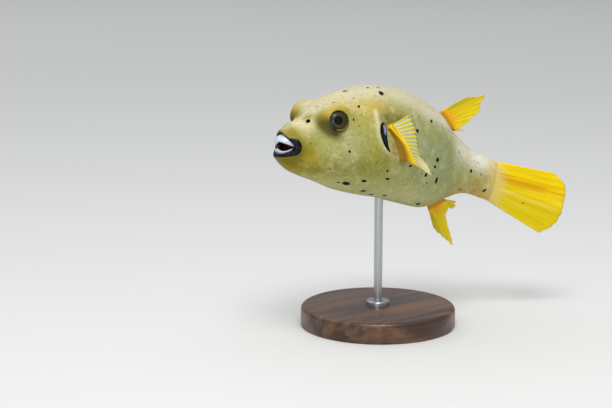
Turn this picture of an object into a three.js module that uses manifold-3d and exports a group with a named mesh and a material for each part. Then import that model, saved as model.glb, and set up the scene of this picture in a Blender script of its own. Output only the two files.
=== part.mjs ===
// A blackspotted puffer at life size, held over a plain display stand. Millimetres, +Z up: the head points
// to -X and the left flank to -Y. The origin is the underside centre of the stand's base.
import * as THREE from "three";
import { mergeVertices } from "three/addons/utils/BufferGeometryUtils.js";
import Module from "manifold-3d";

const wasm = await Module();
wasm.setup();

const LEFT = -1;
const RIGHT = 1;
const GAP = 0.3;

// Body: places behind the lips, with the height above and below the spine and half the width there.
const BEHIND = [0, 6, 10.5, 15, 28, 44, 60, 76, 92, 108, 124, 140, 155];
const HEIGHT_UP = [9.9, 13.5, 16.0, 21.6, 31.4, 38.1, 42.5, 42.8, 40.3, 34.6, 23.1, 14.7, 12.1];
const HEIGHT_DOWN = [7.5, 11.5, 13.4, 14.8, 16.8, 20.4, 21.7, 22.2, 24.0, 25.0, 17.9, 11.0, 12.3];
const HALF_WIDTH = [9.4, 11.7, 14.0, 17.0, 23.0, 25.6, 27.2, 26.9, 24.9, 21.0, 14.0, 9.0, 5.1];
const BODY_LENGTH = 155;
const HEAD_END = 47;
const TRUNK_END = 126;
const BODY_SIDES = 36;
const ROUNDNESS = 2.25;
const SNOUT_TOP_ROUNDNESS = 1.6;
const SNOUT_ROUND_FROM = 15;
const SNOUT_ROUND_TO = 32;
const SNOUT_SWEEP = 6.5;
const SNOUT_SWEEP_LENGTH = 14;

// The spine is straight as far as CURL_START, then turns to the left and down until CURL_END.
const CURL_START = 80;
const CURL_END = 155;
const CURL_LEFT = THREE.MathUtils.degToRad(24.9);
const CURL_DOWN = THREE.MathUtils.degToRad(4.6);
const SPINE_STEP = 0.5;
const SPINE_LENGTH = 220;

// Eyes stand high on the head. Each is a lens shape that looks out of a mound of skin, which is level across
// its top, higher at the brow, and falls away to the head around it.
const EYE_CENTRE = new THREE.Vector3(24.6, 16.6, 18.5);
const EYE_RADIUS = 6.7;
const EYE_HALF_DEPTH = 4.6;
const EYE_SIGHT = new THREE.Vector3(-0.2, 1, 0.2).normalize();
const EYE_BACK = new THREE.Vector3(1, 0, 0).projectOnPlane(EYE_SIGHT).normalize();
const EYE_UP = new THREE.Vector3().crossVectors(EYE_BACK, EYE_SIGHT);
const MOUND = { radius: 6.4, reach: 11.6, reachUp: 0.9, reachBack: 1.2, height: 2.5, brow: 1.8, back: 0.25 };

// Mouth: an oval opening with a fat lip above and below it and four beak plates inside.
const MOUTH_HEIGHT = 1.2;
const MOUTH_HALF_WIDTH = 7.5;
const MOUTH_HALF_HEIGHT = 7.3;
const MOUTH_DEPTH = 11;
const LIP_LINE = { side: 8.3, up: 7.4, down: 7.1 };
const LIP_RADIUS = { top: 1.2, corner: 2.0, bottom: 1.6 };
const LIP_CORNER_ANGLE = THREE.MathUtils.degToRad(2.5);
const BEAK = { behind: 6.0, length: 9.1, side: 7.2, height: 7.0, thickness: 1.3, depth: 8.2 };
const BITE_HALF_HEIGHT = 1.8;
const BITE_HALF_WIDTH = 7.7;

const NOSTRIL = { behind: 12.0, angle: 120, radius: 1.6, height: 1.0, hole: 1.0 };
const GILL_TOP = { behind: 52.0, angle: 151 };
const GILL_BOTTOM = { behind: 57.8, angle: 176 };
const GILL_HALF_WIDTH = 2.2;
const GILL_DEPTH = 4;

// Fins in the fish's own middle plane: rays fan out from a base line. Each entry of a fan is a share of the
// base line from front to back, how long the ray is there, and its angle above the spine.
const DORSAL_FIN = {
  name: "dorsal_fin",
  base: [[113.4, 34.2], [125.2, 24.6]],
  fan: [
    [0, 17.4, 38.8], [0.14, 24.6, 37.5], [0.25, 27.6, 39.5], [0.4, 24.2, 35.5], [0.55, 20.4, 31.4],
    [0.7, 14.2, 29.4], [0.82, 8.9, 25], [0.91, 3.0, 22], [1, 6.6, 14],
  ],
  rootHalf: 1.5,
  tipHalf: 0.35,
  rays: 13,
};
const ANAL_FIN = {
  name: "anal_fin",
  base: [[117.6, -24.6], [128.6, -17.2]],
  fan: [
    [0, 11.6, -58.8], [0.12, 17.2, -57.3], [0.25, 23.4, -51], [0.38, 28.2, -48.8], [0.5, 21.8, -51],
    [0.62, 15.1, -54], [0.72, 9.3, -56], [0.82, 6.0, -40], [0.9, 8.4, -17], [1, 7.0, 2],
  ],
  rootHalf: 1.4,
  tipHalf: 0.35,
  rays: 13,
};
const CAUDAL_FIN = {
  name: "caudal_fin",
  base: [[155.4, 12.0], [155.4, -12.2]],
  fan: [[0, 39.5, 2], [0.2, 48.5, 0.6], [0.4, 50, -1.6], [0.6, 50, -5], [0.8, 48.5, -10.5], [1, 40, -18]],
  rootHalf: 4.4,
  tipHalf: 0.4,
  rays: 13,
};
const FIN_ROWS = 5;
const FLESHY_SHARE = 0.2;

// Each pectoral fin grows from a fleshy root on a slanting line behind the gill opening.
const PECTORAL_TOP = { behind: 56.8, angle: 153 };
const PECTORAL_BOTTOM = { behind: 66.6, angle: 178 };
const PECTORAL_ROOT = { half: 2.3, proud: 3.2, sunk: 2 };
const PECTORAL_RAYS = 12;
const PECTORAL_ROWS = 5;
const PECTORAL_FAN = {
  back: [8, 10.5, 11.5, 11.5, 13.5, 21],
  out: [3.5, 3, 2.2, 1.6, 1.6, 3],
  up: [5.2, 3.8, 1.2, -1.4, -3.8, -5.2],
  arch: 2.6,
  half: 0.45,
};

// Pose over the floor, with the fish's weight above the middle of the stand.
const POSE_CENTRE = 70;
const POSE_PLACE = new THREE.Vector3(-3.4, 0.7, 100);
const NOSE_UP = THREE.MathUtils.degToRad(11);
const BASE_RADIUS = 46;
const BASE_HEIGHT = 12;
const BASE_EDGE = 2;
const ROD_RADIUS = 2.5;
const COLLAR_RADIUS = 7;
const COLLAR_HEIGHT = 3;

const COLOURS = {
  skin: 0xb9b385,
  muzzle: 0x8f7f1e,
  lip: 0x1c1c22,
  beak: 0xdfe6ec,
  eye: 0x2b3220,
  fin: 0xe3c50c,
  finRoot: 0xd79a18,
  wood: 0x4a3426,
  steel: 0xb8bcc0,
};

function finish(colour, roughness, metalness = 0) {
  return new THREE.MeshStandardMaterial({ color: colour, roughness, metalness });
}

function clamp01(value) {
  return THREE.MathUtils.clamp(value, 0, 1);
}

function signedPower(value, power) {
  return Math.sign(value) * Math.abs(value) ** power;
}

// Slope at each knot of a curve that never overshoots its values.
function knotSlopes(places, values) {
  const secants = values.slice(1).map((value, i) => (value - values[i]) / (places[i + 1] - places[i]));
  return values.map((_, i) => {
    if (i === 0 || i === values.length - 1) return secants[Math.max(0, i - 1)];
    const before = secants[i - 1];
    const after = secants[i];
    if (before * after <= 0) return 0;
    const near = 2 * (places[i + 1] - places[i]) + (places[i] - places[i - 1]);
    const far = places[i + 1] - places[i] + 2 * (places[i] - places[i - 1]);
    return (near + far) / (near / before + far / after);
  });
}

function smoothCurve(places, values) {
  const slopes = knotSlopes(places, values);
  const last = places.length - 2;
  return (at) => {
    let i = places.findIndex((place) => place > at) - 1;
    if (i === -2) i = last;
    i = THREE.MathUtils.clamp(i, 0, last);
    const step = places[i + 1] - places[i];
    const t = clamp01((at - places[i]) / step);
    const rise = values[i + 1] - values[i];
    const bend = step * (slopes[i] + slopes[i + 1]) - 2 * rise;
    const turn = 3 * rise - step * (2 * slopes[i] + slopes[i + 1]);
    return values[i] + t * (step * slopes[i] + t * (turn + t * bend));
  };
}

// A curve through values spaced evenly from 0 to 1.
function evenCurve(values) {
  return smoothCurve(values.map((_, i) => i / (values.length - 1)), values);
}

const heightUp = smoothCurve(BEHIND, HEIGHT_UP);
const heightDown = smoothCurve(BEHIND, HEIGHT_DOWN);
const halfWidth = smoothCurve(BEHIND, HALF_WIDTH);

// The spine's direction at a place, with its own sideways and upward directions.
function spineFrame(behind) {
  const share = THREE.MathUtils.smoothstep(behind, CURL_START, CURL_END);
  const left = CURL_LEFT * share;
  const down = CURL_DOWN * share;
  const along = new THREE.Vector3(
    Math.cos(left) * Math.cos(down), -Math.sin(left) * Math.cos(down), -Math.sin(down));
  const side = new THREE.Vector3(Math.sin(left), Math.cos(left), 0);
  const up = new THREE.Vector3().crossVectors(along, side);
  return { along, side, up };
}

function walkSpine() {
  const points = [new THREE.Vector3()];
  for (let behind = SPINE_STEP; behind <= SPINE_LENGTH; behind += SPINE_STEP) {
    const middle = spineFrame(behind - SPINE_STEP / 2).along;
    points.push(points.at(-1).clone().addScaledVector(middle, SPINE_STEP));
  }
  return points;
}

const SPINE = walkSpine();

// A point given by its place behind the lips, to the right of the spine and above it.
function onSpine(behind, side, height) {
  const step = Math.max(0, Math.floor(behind / SPINE_STEP));
  const frame = spineFrame(behind);
  return SPINE[step].clone()
    .addScaledVector(frame.along, behind - step * SPINE_STEP)
    .addScaledVector(frame.side, side)
    .addScaledVector(frame.up, height);
}

// Moves a point of the right half of the head out to the mound around the eye.
function raiseMound(place, grow) {
  const from = place.clone().sub(EYE_CENTRE);
  const back = from.dot(EYE_BACK);
  const up = from.dot(EYE_UP);
  const away = Math.hypot(back, up);
  const reach = MOUND.reach + (MOUND.reachUp * up + MOUND.reachBack * back) / Math.max(away, 1);
  const share = 1 - THREE.MathUtils.smoothstep(away, MOUND.radius, reach);
  const top = MOUND.height + grow + (MOUND.brow * up + MOUND.back * back) / MOUND.radius;
  place.addScaledVector(EYE_SIGHT, (top - from.dot(EYE_SIGHT)) * share);
}

// The body's surface: angle 0 faces right, 90 up, 180 left and 270 down. grow stands it proud of the skin.
function bodySurface(behind, degrees, grow = 0) {
  const angle = THREE.MathUtils.degToRad(degrees);
  const across = Math.cos(angle);
  const rise = Math.sin(angle);
  const snout = 1 - clamp01((behind - SNOUT_ROUND_FROM) / (SNOUT_ROUND_TO - SNOUT_ROUND_FROM));
  const topRoundness = THREE.MathUtils.lerp(ROUNDNESS, SNOUT_TOP_ROUNDNESS, snout);
  const roundness = rise > 0 ? topRoundness : ROUNDNESS;
  const tall = (rise > 0 ? heightUp(behind) : heightDown(behind)) + grow;
  const sweep = SNOUT_SWEEP * Math.exp(-((behind / SNOUT_SWEEP_LENGTH) ** 2)) * across * across;
  const place = new THREE.Vector3(
    behind + sweep,
    (halfWidth(behind) + grow) * Math.abs(across) ** (2 / roundness),
    tall * signedPower(rise, 2 / ROUNDNESS));
  raiseMound(place, grow);
  return onSpine(place.x, Math.sign(across) * place.y, place.z);
}

function orient(geometry) {
  const place = geometry.getAttribute("position");
  const index = geometry.getIndex();
  const [a, b, c] = [new THREE.Vector3(), new THREE.Vector3(), new THREE.Vector3()];
  let volume = 0;
  for (let i = 0; i < index.count; i += 3) {
    a.fromBufferAttribute(place, index.getX(i));
    b.fromBufferAttribute(place, index.getX(i + 1));
    c.fromBufferAttribute(place, index.getX(i + 2));
    volume += a.dot(b.cross(c));
  }
  if (volume > 0) return geometry;
  for (let i = 0; i < index.count; i += 3) {
    const first = index.getX(i);
    index.setX(i, index.getX(i + 1));
    index.setX(i + 1, first);
  }
  return geometry;
}

function meshFrom(points, faces) {
  const geometry = new THREE.BufferGeometry().setFromPoints(points);
  geometry.setIndex(faces);
  return orient(geometry);
}

function middleOf(points) {
  const sum = points.reduce((total, point) => total.add(point), new THREE.Vector3());
  return sum.divideScalar(points.length);
}

// A closed solid through rings that all have the same number of points.
function loft(rings) {
  const sides = rings[0].length;
  const points = [...rings.flat(), middleOf(rings[0]), middleOf(rings.at(-1))];
  const front = points.length - 2;
  const back = points.length - 1;
  const faces = [];
  for (let i = 0; i < sides; i += 1) {
    const next = (i + 1) % sides;
    for (let row = 0; row < rings.length - 1; row += 1) {
      const here = row * sides;
      const there = here + sides;
      faces.push(here + i, here + next, there + next, here + i, there + next, there + i);
    }
    const end = (rings.length - 1) * sides;
    faces.push(front, next, i, back, end + i, end + next);
  }
  return meshFrom(points, faces);
}

// A closed plate between two matching grids of points, for the fins.
function plate(nearSide, farSide) {
  const rows = nearSide.length;
  const columns = nearSide[0].length;
  const points = [...nearSide.flat(), ...farSide.flat()];
  const far = rows * columns;
  const rim = [];
  for (let column = 0; column < columns; column += 1) rim.push(column);
  for (let row = 1; row < rows; row += 1) rim.push(row * columns + columns - 1);
  for (let column = columns - 2; column >= 0; column -= 1) rim.push((rows - 1) * columns + column);
  for (let row = rows - 2; row > 0; row -= 1) rim.push(row * columns);
  const faces = [];
  for (let row = 0; row < rows - 1; row += 1) {
    for (let column = 0; column < columns - 1; column += 1) {
      const a = row * columns + column;
      const b = a + 1;
      const c = b + columns;
      const d = a + columns;
      faces.push(a, c, b, a, d, c);
      faces.push(far + a, far + b, far + c, far + a, far + c, far + d);
    }
  }
  rim.forEach((here, i) => {
    const next = rim[(i + 1) % rim.length];
    faces.push(here, next, far + next, here, far + next, far + here);
  });
  return meshFrom(points, faces);
}

function bare(geometry) {
  geometry.deleteAttribute("normal");
  geometry.deleteAttribute("uv");
  return mergeVertices(geometry, 1e-4);
}

function solidOf(geometry) {
  const vertProperties = new Float32Array(geometry.getAttribute("position").array);
  const triVerts = new Uint32Array(geometry.getIndex().array);
  return new wasm.Manifold(new wasm.Mesh({ numProp: 3, vertProperties, triVerts }));
}

function geometryOf(solid) {
  const mesh = solid.getMesh();
  const geometry = new THREE.BufferGeometry();
  geometry.setAttribute("position", new THREE.BufferAttribute(mesh.vertProperties, 3));
  geometry.setIndex(new THREE.BufferAttribute(mesh.triVerts, 1));
  return geometry;
}

function steps(from, to, count) {
  return Array.from({ length: count + 1 }, (_, i) => from + ((to - from) * i) / count);
}

function bodyRing(behind, grow) {
  return steps(0, 360, BODY_SIDES).slice(0, -1).map((angle) => bodySurface(behind, angle, grow));
}

function bodyLength(from, to, rows, grow = 0) {
  return loft(steps(from, to, rows).map((behind) => bodyRing(behind, grow)));
}

function ellipsoid(centre, radii, around = 20, down = 12) {
  const geometry = bare(new THREE.SphereGeometry(1, around, down));
  return geometry.scale(radii.x, radii.y, radii.z).translate(centre.x, centre.y, centre.z);
}

// An oval prism along the fish's length.
function ovalPrism(front, depth, height, halfAcross, halfTall, sides = 24) {
  const ring = (behind) => steps(0, 2 * Math.PI, sides).slice(0, -1).map((angle) => new THREE.Vector3(
    behind, halfAcross * Math.cos(angle), height + halfTall * Math.sin(angle)));
  return loft([ring(front), ring(front + depth)]);
}

function eyeBall(side, grow = 0) {
  const handed = new THREE.Vector3(1, side, 1);
  const sight = EYE_SIGHT.clone().multiply(handed);
  const centre = EYE_CENTRE.clone().multiply(handed);
  const radii = new THREE.Vector3(EYE_RADIUS + grow, EYE_HALF_DEPTH + grow, EYE_RADIUS + grow);
  const turn = new THREE.Quaternion().setFromUnitVectors(new THREE.Vector3(0, 1, 0), sight);
  return ellipsoid(new THREE.Vector3(), radii, 18, 10)
    .applyQuaternion(turn)
    .translate(centre.x, centre.y, centre.z);
}

// A lip runs from one corner of the mouth to the other, above or below it, and is fattest at the corners.
function lip(vertical, grow = 0) {
  const middleRadius = vertical > 0 ? LIP_RADIUS.top : LIP_RADIUS.bottom;
  const tall = vertical > 0 ? LIP_LINE.up : LIP_LINE.down;
  const corner = grow > 0 ? 0 : LIP_CORNER_ANGLE;
  const lipPoint = (angle) => new THREE.Vector3(
    SNOUT_SWEEP * Math.cos(angle) ** 2 + 0.2,
    LIP_LINE.side * Math.cos(angle),
    MOUTH_HEIGHT + vertical * tall * Math.sin(angle));
  const rings = steps(corner, Math.PI - corner, 12).map((angle) => {
    const centre = lipPoint(angle);
    const ahead = lipPoint(angle + 0.01).sub(lipPoint(angle - 0.01)).normalize();
    const forward = new THREE.Vector3(-1, 0, 0).addScaledVector(ahead, ahead.x).normalize();
    const across = new THREE.Vector3().crossVectors(ahead, forward);
    const radius = THREE.MathUtils.lerp(middleRadius, LIP_RADIUS.corner, Math.cos(angle) ** 2) + grow;
    return steps(0, 2 * Math.PI, 8).slice(0, -1).map((turn) => centre.clone()
      .addScaledVector(forward, radius * Math.cos(turn))
      .addScaledVector(across, radius * Math.sin(turn)));
  });
  return loft(rings);
}

function makeHead() {
  let head = solidOf(bodyLength(0, HEAD_END, 20));
  head = head.subtract(solidOf(ovalPrism(
    -5, MOUTH_DEPTH + 5, MOUTH_HEIGHT, MOUTH_HALF_WIDTH, MOUTH_HALF_HEIGHT)));
  for (const vertical of [1, -1]) head = head.subtract(solidOf(lip(vertical, GAP)));
  for (const side of [LEFT, RIGHT]) {
    head = head.subtract(solidOf(eyeBall(side, GAP)));
    head = head.subtract(solidOf(nostril(side, GAP)));
  }
  return geometryOf(head);
}

function sideAngle(side, degrees) {
  return side === LEFT ? degrees : 180 - degrees;
}

// The way straight out of the skin at a place on the body.
function outward(behind, degrees) {
  const here = bodySurface(behind, degrees);
  const back = bodySurface(behind + 0.5, degrees).sub(here);
  const round = bodySurface(behind, degrees + 1).sub(here);
  const out = new THREE.Vector3().crossVectors(round, back).normalize();
  const away = here.clone().sub(onSpine(behind, 0, 0));
  return out.dot(away) > 0 ? out : out.negate();
}

// Each nostril is a short ring of skin with a pit in it.
function nostril(side, grow = 0) {
  const degrees = sideAngle(side, NOSTRIL.angle);
  const out = outward(NOSTRIL.behind, degrees);
  const radius = NOSTRIL.radius + grow;
  const foot = -1 - grow;
  const wall = [[0, foot], [radius, foot], [radius * 0.85, NOSTRIL.height]];
  const pit = [[NOSTRIL.hole, NOSTRIL.height], [NOSTRIL.hole * 0.6, -0.4], [0, -0.4]];
  const profile = grow > 0 ? [...wall, [0, NOSTRIL.height]] : [...wall, ...pit];
  const ring = new THREE.LatheGeometry(profile.map(([r, z]) => new THREE.Vector2(r, z)), 8);
  const turn = new THREE.Quaternion().setFromUnitVectors(new THREE.Vector3(0, 1, 0), out);
  const place = bodySurface(NOSTRIL.behind, degrees);
  return orient(bare(ring).applyQuaternion(turn).translate(place.x, place.y, place.z));
}

// The gill opening is a slanting pit, narrow at both ends.
function gillPit(side) {
  const rings = [GILL_DEPTH, -3].map((depth) => {
    const edge = (share, direction) => {
      const behind = THREE.MathUtils.lerp(GILL_TOP.behind, GILL_BOTTOM.behind, share);
      const degrees = sideAngle(side, THREE.MathUtils.lerp(GILL_TOP.angle, GILL_BOTTOM.angle, share));
      const width = GILL_HALF_WIDTH * Math.sin(Math.PI * (0.08 + 0.84 * share));
      const point = bodySurface(behind + direction * width, degrees);
      return point.addScaledVector(outward(behind, degrees), -depth);
    };
    const front = steps(0, 1, 8).map((share) => edge(share, -1));
    const rear = steps(1, 0, 8).map((share) => edge(share, 1));
    return [...front, ...rear];
  });
  return loft(rings);
}

function makeTrunk() {
  let trunk = solidOf(bodyLength(HEAD_END + GAP, TRUNK_END, 18));
  for (const side of [LEFT, RIGHT]) trunk = trunk.subtract(solidOf(gillPit(side)));
  return geometryOf(trunk);
}

// The four beak plates are quarters of one thin dome, open along the bite and clear of the lips.
function makeBeak() {
  const centre = new THREE.Vector3(BEAK.behind, 0, MOUTH_HEIGHT);
  const outer = new THREE.Vector3(BEAK.length, BEAK.side, BEAK.height);
  const inner = outer.clone().subScalar(BEAK.thickness);
  let dome = solidOf(ellipsoid(centre, outer)).subtract(solidOf(ellipsoid(centre, inner)));
  dome = dome.subtract(solidOf(ovalPrism(-5, 20, MOUTH_HEIGHT, BITE_HALF_WIDTH, BITE_HALF_HEIGHT)));
  for (const vertical of [1, -1]) dome = dome.subtract(solidOf(lip(vertical, GAP)));
  const quarters = [];
  for (const [level, vertical] of [["upper", 1], ["lower", -1]]) {
    for (const [hand, side] of [["left", LEFT], ["right", RIGHT]]) {
      const size = 20;
      const quarter = bare(new THREE.BoxGeometry(size, size, size)).translate(
        BEAK.depth - size / 2,
        side * (size / 2 + GAP / 2),
        MOUTH_HEIGHT + vertical * (size / 2 + GAP / 2));
      quarters.push([`beak_${level}_${hand}`, geometryOf(dome.intersect(solidOf(quarter)))]);
    }
  }
  return quarters;
}

// A fin in the middle plane: share runs over the fan and reach out along a ray.
function finPoint(fin, share, out, half) {
  const [front, back] = fin.base;
  const lean = THREE.MathUtils.degToRad(fin.leanAt(share));
  const length = fin.reachAt(share) * out;
  const behind = THREE.MathUtils.lerp(front[0], back[0], share) + length * Math.cos(lean);
  const height = THREE.MathUtils.lerp(front[1], back[1], share) + length * Math.sin(lean);
  return onSpine(behind, half, height);
}

function makeFin(fin) {
  const shares = fin.fan.map((ray) => ray[0]);
  fin.reachAt = smoothCurve(shares, fin.fan.map((ray) => ray[1]));
  fin.leanAt = smoothCurve(shares, fin.fan.map((ray) => ray[2]));
  const grid = (side) => steps(0, 1, FIN_ROWS).map((out) => {
    const fleshy = (1 - clamp01(out / FLESHY_SHARE)) ** 2;
    return steps(0, 1, fin.rays).map((share) => {
      const margin = 0.35 + 0.65 * Math.sqrt(Math.sin(Math.PI * clamp01(0.02 + 0.96 * share)));
      const half = THREE.MathUtils.lerp(fin.tipHalf, fin.rootHalf * margin, fleshy);
      return finPoint(fin, share, out, side * half);
    });
  });
  return plate(grid(LEFT), grid(RIGHT));
}

function cutByBody(geometry, from, to, rows) {
  return geometryOf(solidOf(geometry).subtract(solidOf(bodyLength(from, to, rows, GAP))));
}

function pectoralLine(share, side) {
  return {
    behind: THREE.MathUtils.lerp(PECTORAL_TOP.behind, PECTORAL_BOTTOM.behind, share),
    degrees: sideAngle(side, THREE.MathUtils.lerp(PECTORAL_TOP.angle, PECTORAL_BOTTOM.angle, share)),
  };
}

// The fleshy root is a rounded ridge along the fin's base line.
function pectoralRoot(side) {
  const { half, proud, sunk } = PECTORAL_ROOT;
  const rings = steps(0, 1, 8).map((share) => {
    const { behind, degrees } = pectoralLine(share, side);
    const centre = bodySurface(behind, degrees);
    const out = outward(behind, degrees);
    const back = onSpine(behind + 1, 0, 0).sub(onSpine(behind, 0, 0));
    const swell = 0.45 + 0.55 * Math.sqrt(Math.sin(Math.PI * (0.02 + 0.96 * share)));
    return steps(0, 360, 10).slice(0, -1).map((turn) => {
      const angle = THREE.MathUtils.degToRad(turn);
      const rise = Math.sin(angle) > 0 ? proud * swell : sunk;
      return centre.clone()
        .addScaledVector(back, half * swell * Math.cos(angle))
        .addScaledVector(out, rise * Math.sin(angle));
    });
  });
  return cutByBody(loft(rings), HEAD_END, 80, 16);
}

function pectoralFin(side) {
  const fan = PECTORAL_FAN;
  const back = evenCurve(fan.back);
  const out = evenCurve(fan.out);
  const up = evenCurve(fan.up);
  const start = PECTORAL_ROOT.proud + GAP;
  const middle = (share, along) => {
    const { behind, degrees } = pectoralLine(share, side);
    const away = outward(behind, degrees);
    const arch = fan.arch * 4 * along * (1 - along);
    return bodySurface(behind, degrees).addScaledVector(away, start + arch)
      .add(new THREE.Vector3(back(share), side * out(share) * 0.4, up(share)).multiplyScalar(along));
  };
  const grid = (face) => steps(0, 1, PECTORAL_ROWS).map((along) => (
    steps(0, 1, PECTORAL_RAYS).map((share) => {
      const here = middle(share, along);
      const across = middle(Math.min(1, share + 0.02), along).sub(middle(Math.max(0, share - 0.02), along));
      const outwards = middle(share, along + 0.02).sub(middle(share, along - 0.02));
      const normal = across.cross(outwards).normalize();
      return here.addScaledVector(normal, face * fan.half);
    })
  ));
  return cutByBody(plate(grid(1), grid(-1)), HEAD_END, 100, 20);
}

function addPiece(group, name, geometry, material) {
  const piece = new THREE.Mesh(geometry, material);
  piece.name = name;
  group.add(piece);
  return piece;
}

function makeFish() {
  const fish = new THREE.Group();
  const skin = finish(COLOURS.skin, 0.6);
  const lipSkin = finish(COLOURS.lip, 0.45);
  const beak = finish(COLOURS.beak, 0.25);
  addPiece(fish, "head", makeHead(), skin);
  addPiece(fish, "trunk", makeTrunk(), skin);
  addPiece(fish, "tail_stalk", bodyLength(TRUNK_END + GAP, BODY_LENGTH, 7), skin);
  addPiece(fish, "upper_lip", lip(1), lipSkin);
  addPiece(fish, "lower_lip", lip(-1), lipSkin);
  for (const [name, geometry] of makeBeak()) addPiece(fish, name, geometry, beak);
  for (const [hand, side] of [["left", LEFT], ["right", RIGHT]]) {
    addPiece(fish, `eye_${hand}`, eyeBall(side), finish(COLOURS.eye, 0.1));
    addPiece(fish, `nostril_${hand}`, nostril(side), finish(COLOURS.muzzle, 0.6));
    addPiece(fish, `pectoral_root_${hand}`, pectoralRoot(side), finish(COLOURS.finRoot, 0.55));
    addPiece(fish, `pectoral_fin_${hand}`, pectoralFin(side), finish(COLOURS.fin, 0.5));
  }
  for (const fin of [DORSAL_FIN, ANAL_FIN]) {
    addPiece(fish, fin.name, cutByBody(makeFin(fin), 100, 140, 16), finish(COLOURS.fin, 0.5));
  }
  addPiece(fish, CAUDAL_FIN.name, makeFin(CAUDAL_FIN), finish(COLOURS.fin, 0.5));
  fish.position.set(-POSE_CENTRE, 0, 0);
  const pose = new THREE.Group();
  pose.add(fish);
  pose.rotation.y = NOSE_UP;
  pose.position.copy(POSE_PLACE);
  pose.updateMatrixWorld(true);
  return { pose, placed: fish.matrixWorld };
}

function turned(profile, sides) {
  return orient(bare(new THREE.LatheGeometry(profile.map(([r, z]) => new THREE.Vector2(r, z)), sides)
    .rotateX(Math.PI / 2)));
}

function addStand(group, placed) {
  const steel = finish(COLOURS.steel, 0.35, 1);
  const edge = BASE_EDGE;
  const base = turned([
    [0, 0], [BASE_RADIUS - edge / 2, 0], [BASE_RADIUS, edge / 2], [BASE_RADIUS, BASE_HEIGHT - edge],
    [BASE_RADIUS - edge * 0.3, BASE_HEIGHT - edge * 0.3], [BASE_RADIUS - edge, BASE_HEIGHT], [0, BASE_HEIGHT],
  ], 40);
  addPiece(group, "stand_base", base, finish(COLOURS.wood, 0.45));
  const foot = BASE_HEIGHT + GAP;
  const collar = turned([
    [ROD_RADIUS + GAP, foot], [COLLAR_RADIUS, foot], [COLLAR_RADIUS, foot + COLLAR_HEIGHT * 0.6],
    [COLLAR_RADIUS - 1.2, foot + COLLAR_HEIGHT], [ROD_RADIUS + GAP, foot + COLLAR_HEIGHT],
    [ROD_RADIUS + GAP, foot],
  ], 20);
  addPiece(group, "stand_collar", collar, steel);
  const top = POSE_PLACE.z;
  const rod = turned([[0, foot], [ROD_RADIUS, foot], [ROD_RADIUS, top], [0, top]], 16);
  const belly = bodyLength(HEAD_END, 100, 24, GAP).applyMatrix4(placed);
  addPiece(group, "stand_rod", geometryOf(solidOf(rod).subtract(solidOf(belly))), steel);
}

const puffer = new THREE.Group();
const { pose, placed } = makeFish();
puffer.add(pose);
addStand(puffer, placed);

export default puffer;
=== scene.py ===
"""A life-size pufferfish, pale yellow-grey with dark spots, held over a round stand by one steel rod.

The fish is shaped straight, in its own frame and in millimetres: how far a point is behind the lips, how far
to the right of the spine, and how high above it. One last step bends it along the spine, turns it to its
pose and makes it metres. The skin is a single closed surface from the throat to the edge of the tail fin.
"""

import math
import random

import bmesh
import bpy
import numpy as np
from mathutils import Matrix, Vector
from mathutils.bvhtree import BVHTree


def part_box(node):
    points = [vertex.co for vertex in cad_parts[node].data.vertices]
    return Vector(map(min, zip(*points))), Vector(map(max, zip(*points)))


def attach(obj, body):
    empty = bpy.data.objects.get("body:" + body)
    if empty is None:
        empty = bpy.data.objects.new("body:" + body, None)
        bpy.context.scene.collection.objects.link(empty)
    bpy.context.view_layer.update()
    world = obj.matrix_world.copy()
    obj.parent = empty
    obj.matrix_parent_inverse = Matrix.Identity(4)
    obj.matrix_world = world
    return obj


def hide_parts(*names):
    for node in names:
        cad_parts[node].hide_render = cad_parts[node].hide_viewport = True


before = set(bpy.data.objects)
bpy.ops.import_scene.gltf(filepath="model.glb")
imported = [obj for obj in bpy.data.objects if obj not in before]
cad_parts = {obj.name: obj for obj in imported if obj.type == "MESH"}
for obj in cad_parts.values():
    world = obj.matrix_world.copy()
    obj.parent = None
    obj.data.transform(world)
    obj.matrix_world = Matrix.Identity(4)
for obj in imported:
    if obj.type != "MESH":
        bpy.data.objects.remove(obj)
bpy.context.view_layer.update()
stage = bpy.context.scene

LEFT = -1
RIGHT = 1
MILLIMETRE = 0.001

# ---- sizes of the body

BEHIND = (0, 6, 10.5, 15, 28, 44, 60, 76, 92, 108, 124, 140, 155)
HEIGHT_UP = (9.9, 13.5, 16.0, 21.6, 31.4, 38.1, 42.5, 42.8, 40.3, 34.6, 23.1, 14.7, 12.1)
HEIGHT_DOWN = (7.5, 11.5, 13.4, 14.8, 16.8, 20.4, 21.7, 22.2, 24.0, 25.0, 17.9, 11.0, 12.3)
HALF_WIDTH = (9.4, 11.7, 14.0, 17.0, 23.0, 25.6, 27.2, 26.9, 24.9, 21.0, 14.0, 9.0, 5.1)
BODY_LENGTH = 155
BODY_SOFTNESS = 2.5
ROUNDNESS = 2.25
SNOUT_TOP_ROUNDNESS = 1.6
SNOUT_ROUND_FROM = 15
SNOUT_ROUND_TO = 32
SNOUT_SWEEP = 6.5
SNOUT_SWEEP_LENGTH = 14

CURL_START = 80
CURL_END = 155
CURL_LEFT = math.radians(24.9)
CURL_DOWN = math.radians(4.6)
SPINE_STEP = 0.5
SPINE_LENGTH = 230

POSE_CENTRE = 70
POSE_PLACE = np.array((-3.4, 0.7, 100.0))
NOSE_UP = math.radians(11)

# ---- the head

EYE_CENTRE = np.array((24.6, 16.6, 18.5))
EYE_RADIUS = 6.7
EYE_HALF_DEPTH = 4.6
EYE_SIGHT = np.array((-0.2, 1.0, 0.2)) / math.sqrt(1.08)
EYE_BACK = np.array((1.0, 0.0, 0.0)) - EYE_SIGHT[0] * EYE_SIGHT
EYE_BACK /= np.linalg.norm(EYE_BACK)
EYE_UP = np.cross(EYE_BACK, EYE_SIGHT)

# The mound around an eye: its inner radius, how far it reaches, and how high it stands over the eye's centre.
# The last two have a middle value, then what is added behind the eye and above it.
MOUND_RADIUS = 6.4
MOUND_REACH = (11.6, 1.2, 0.9)
MOUND_TOP = (2.5, 0.25, 1.8)

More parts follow.
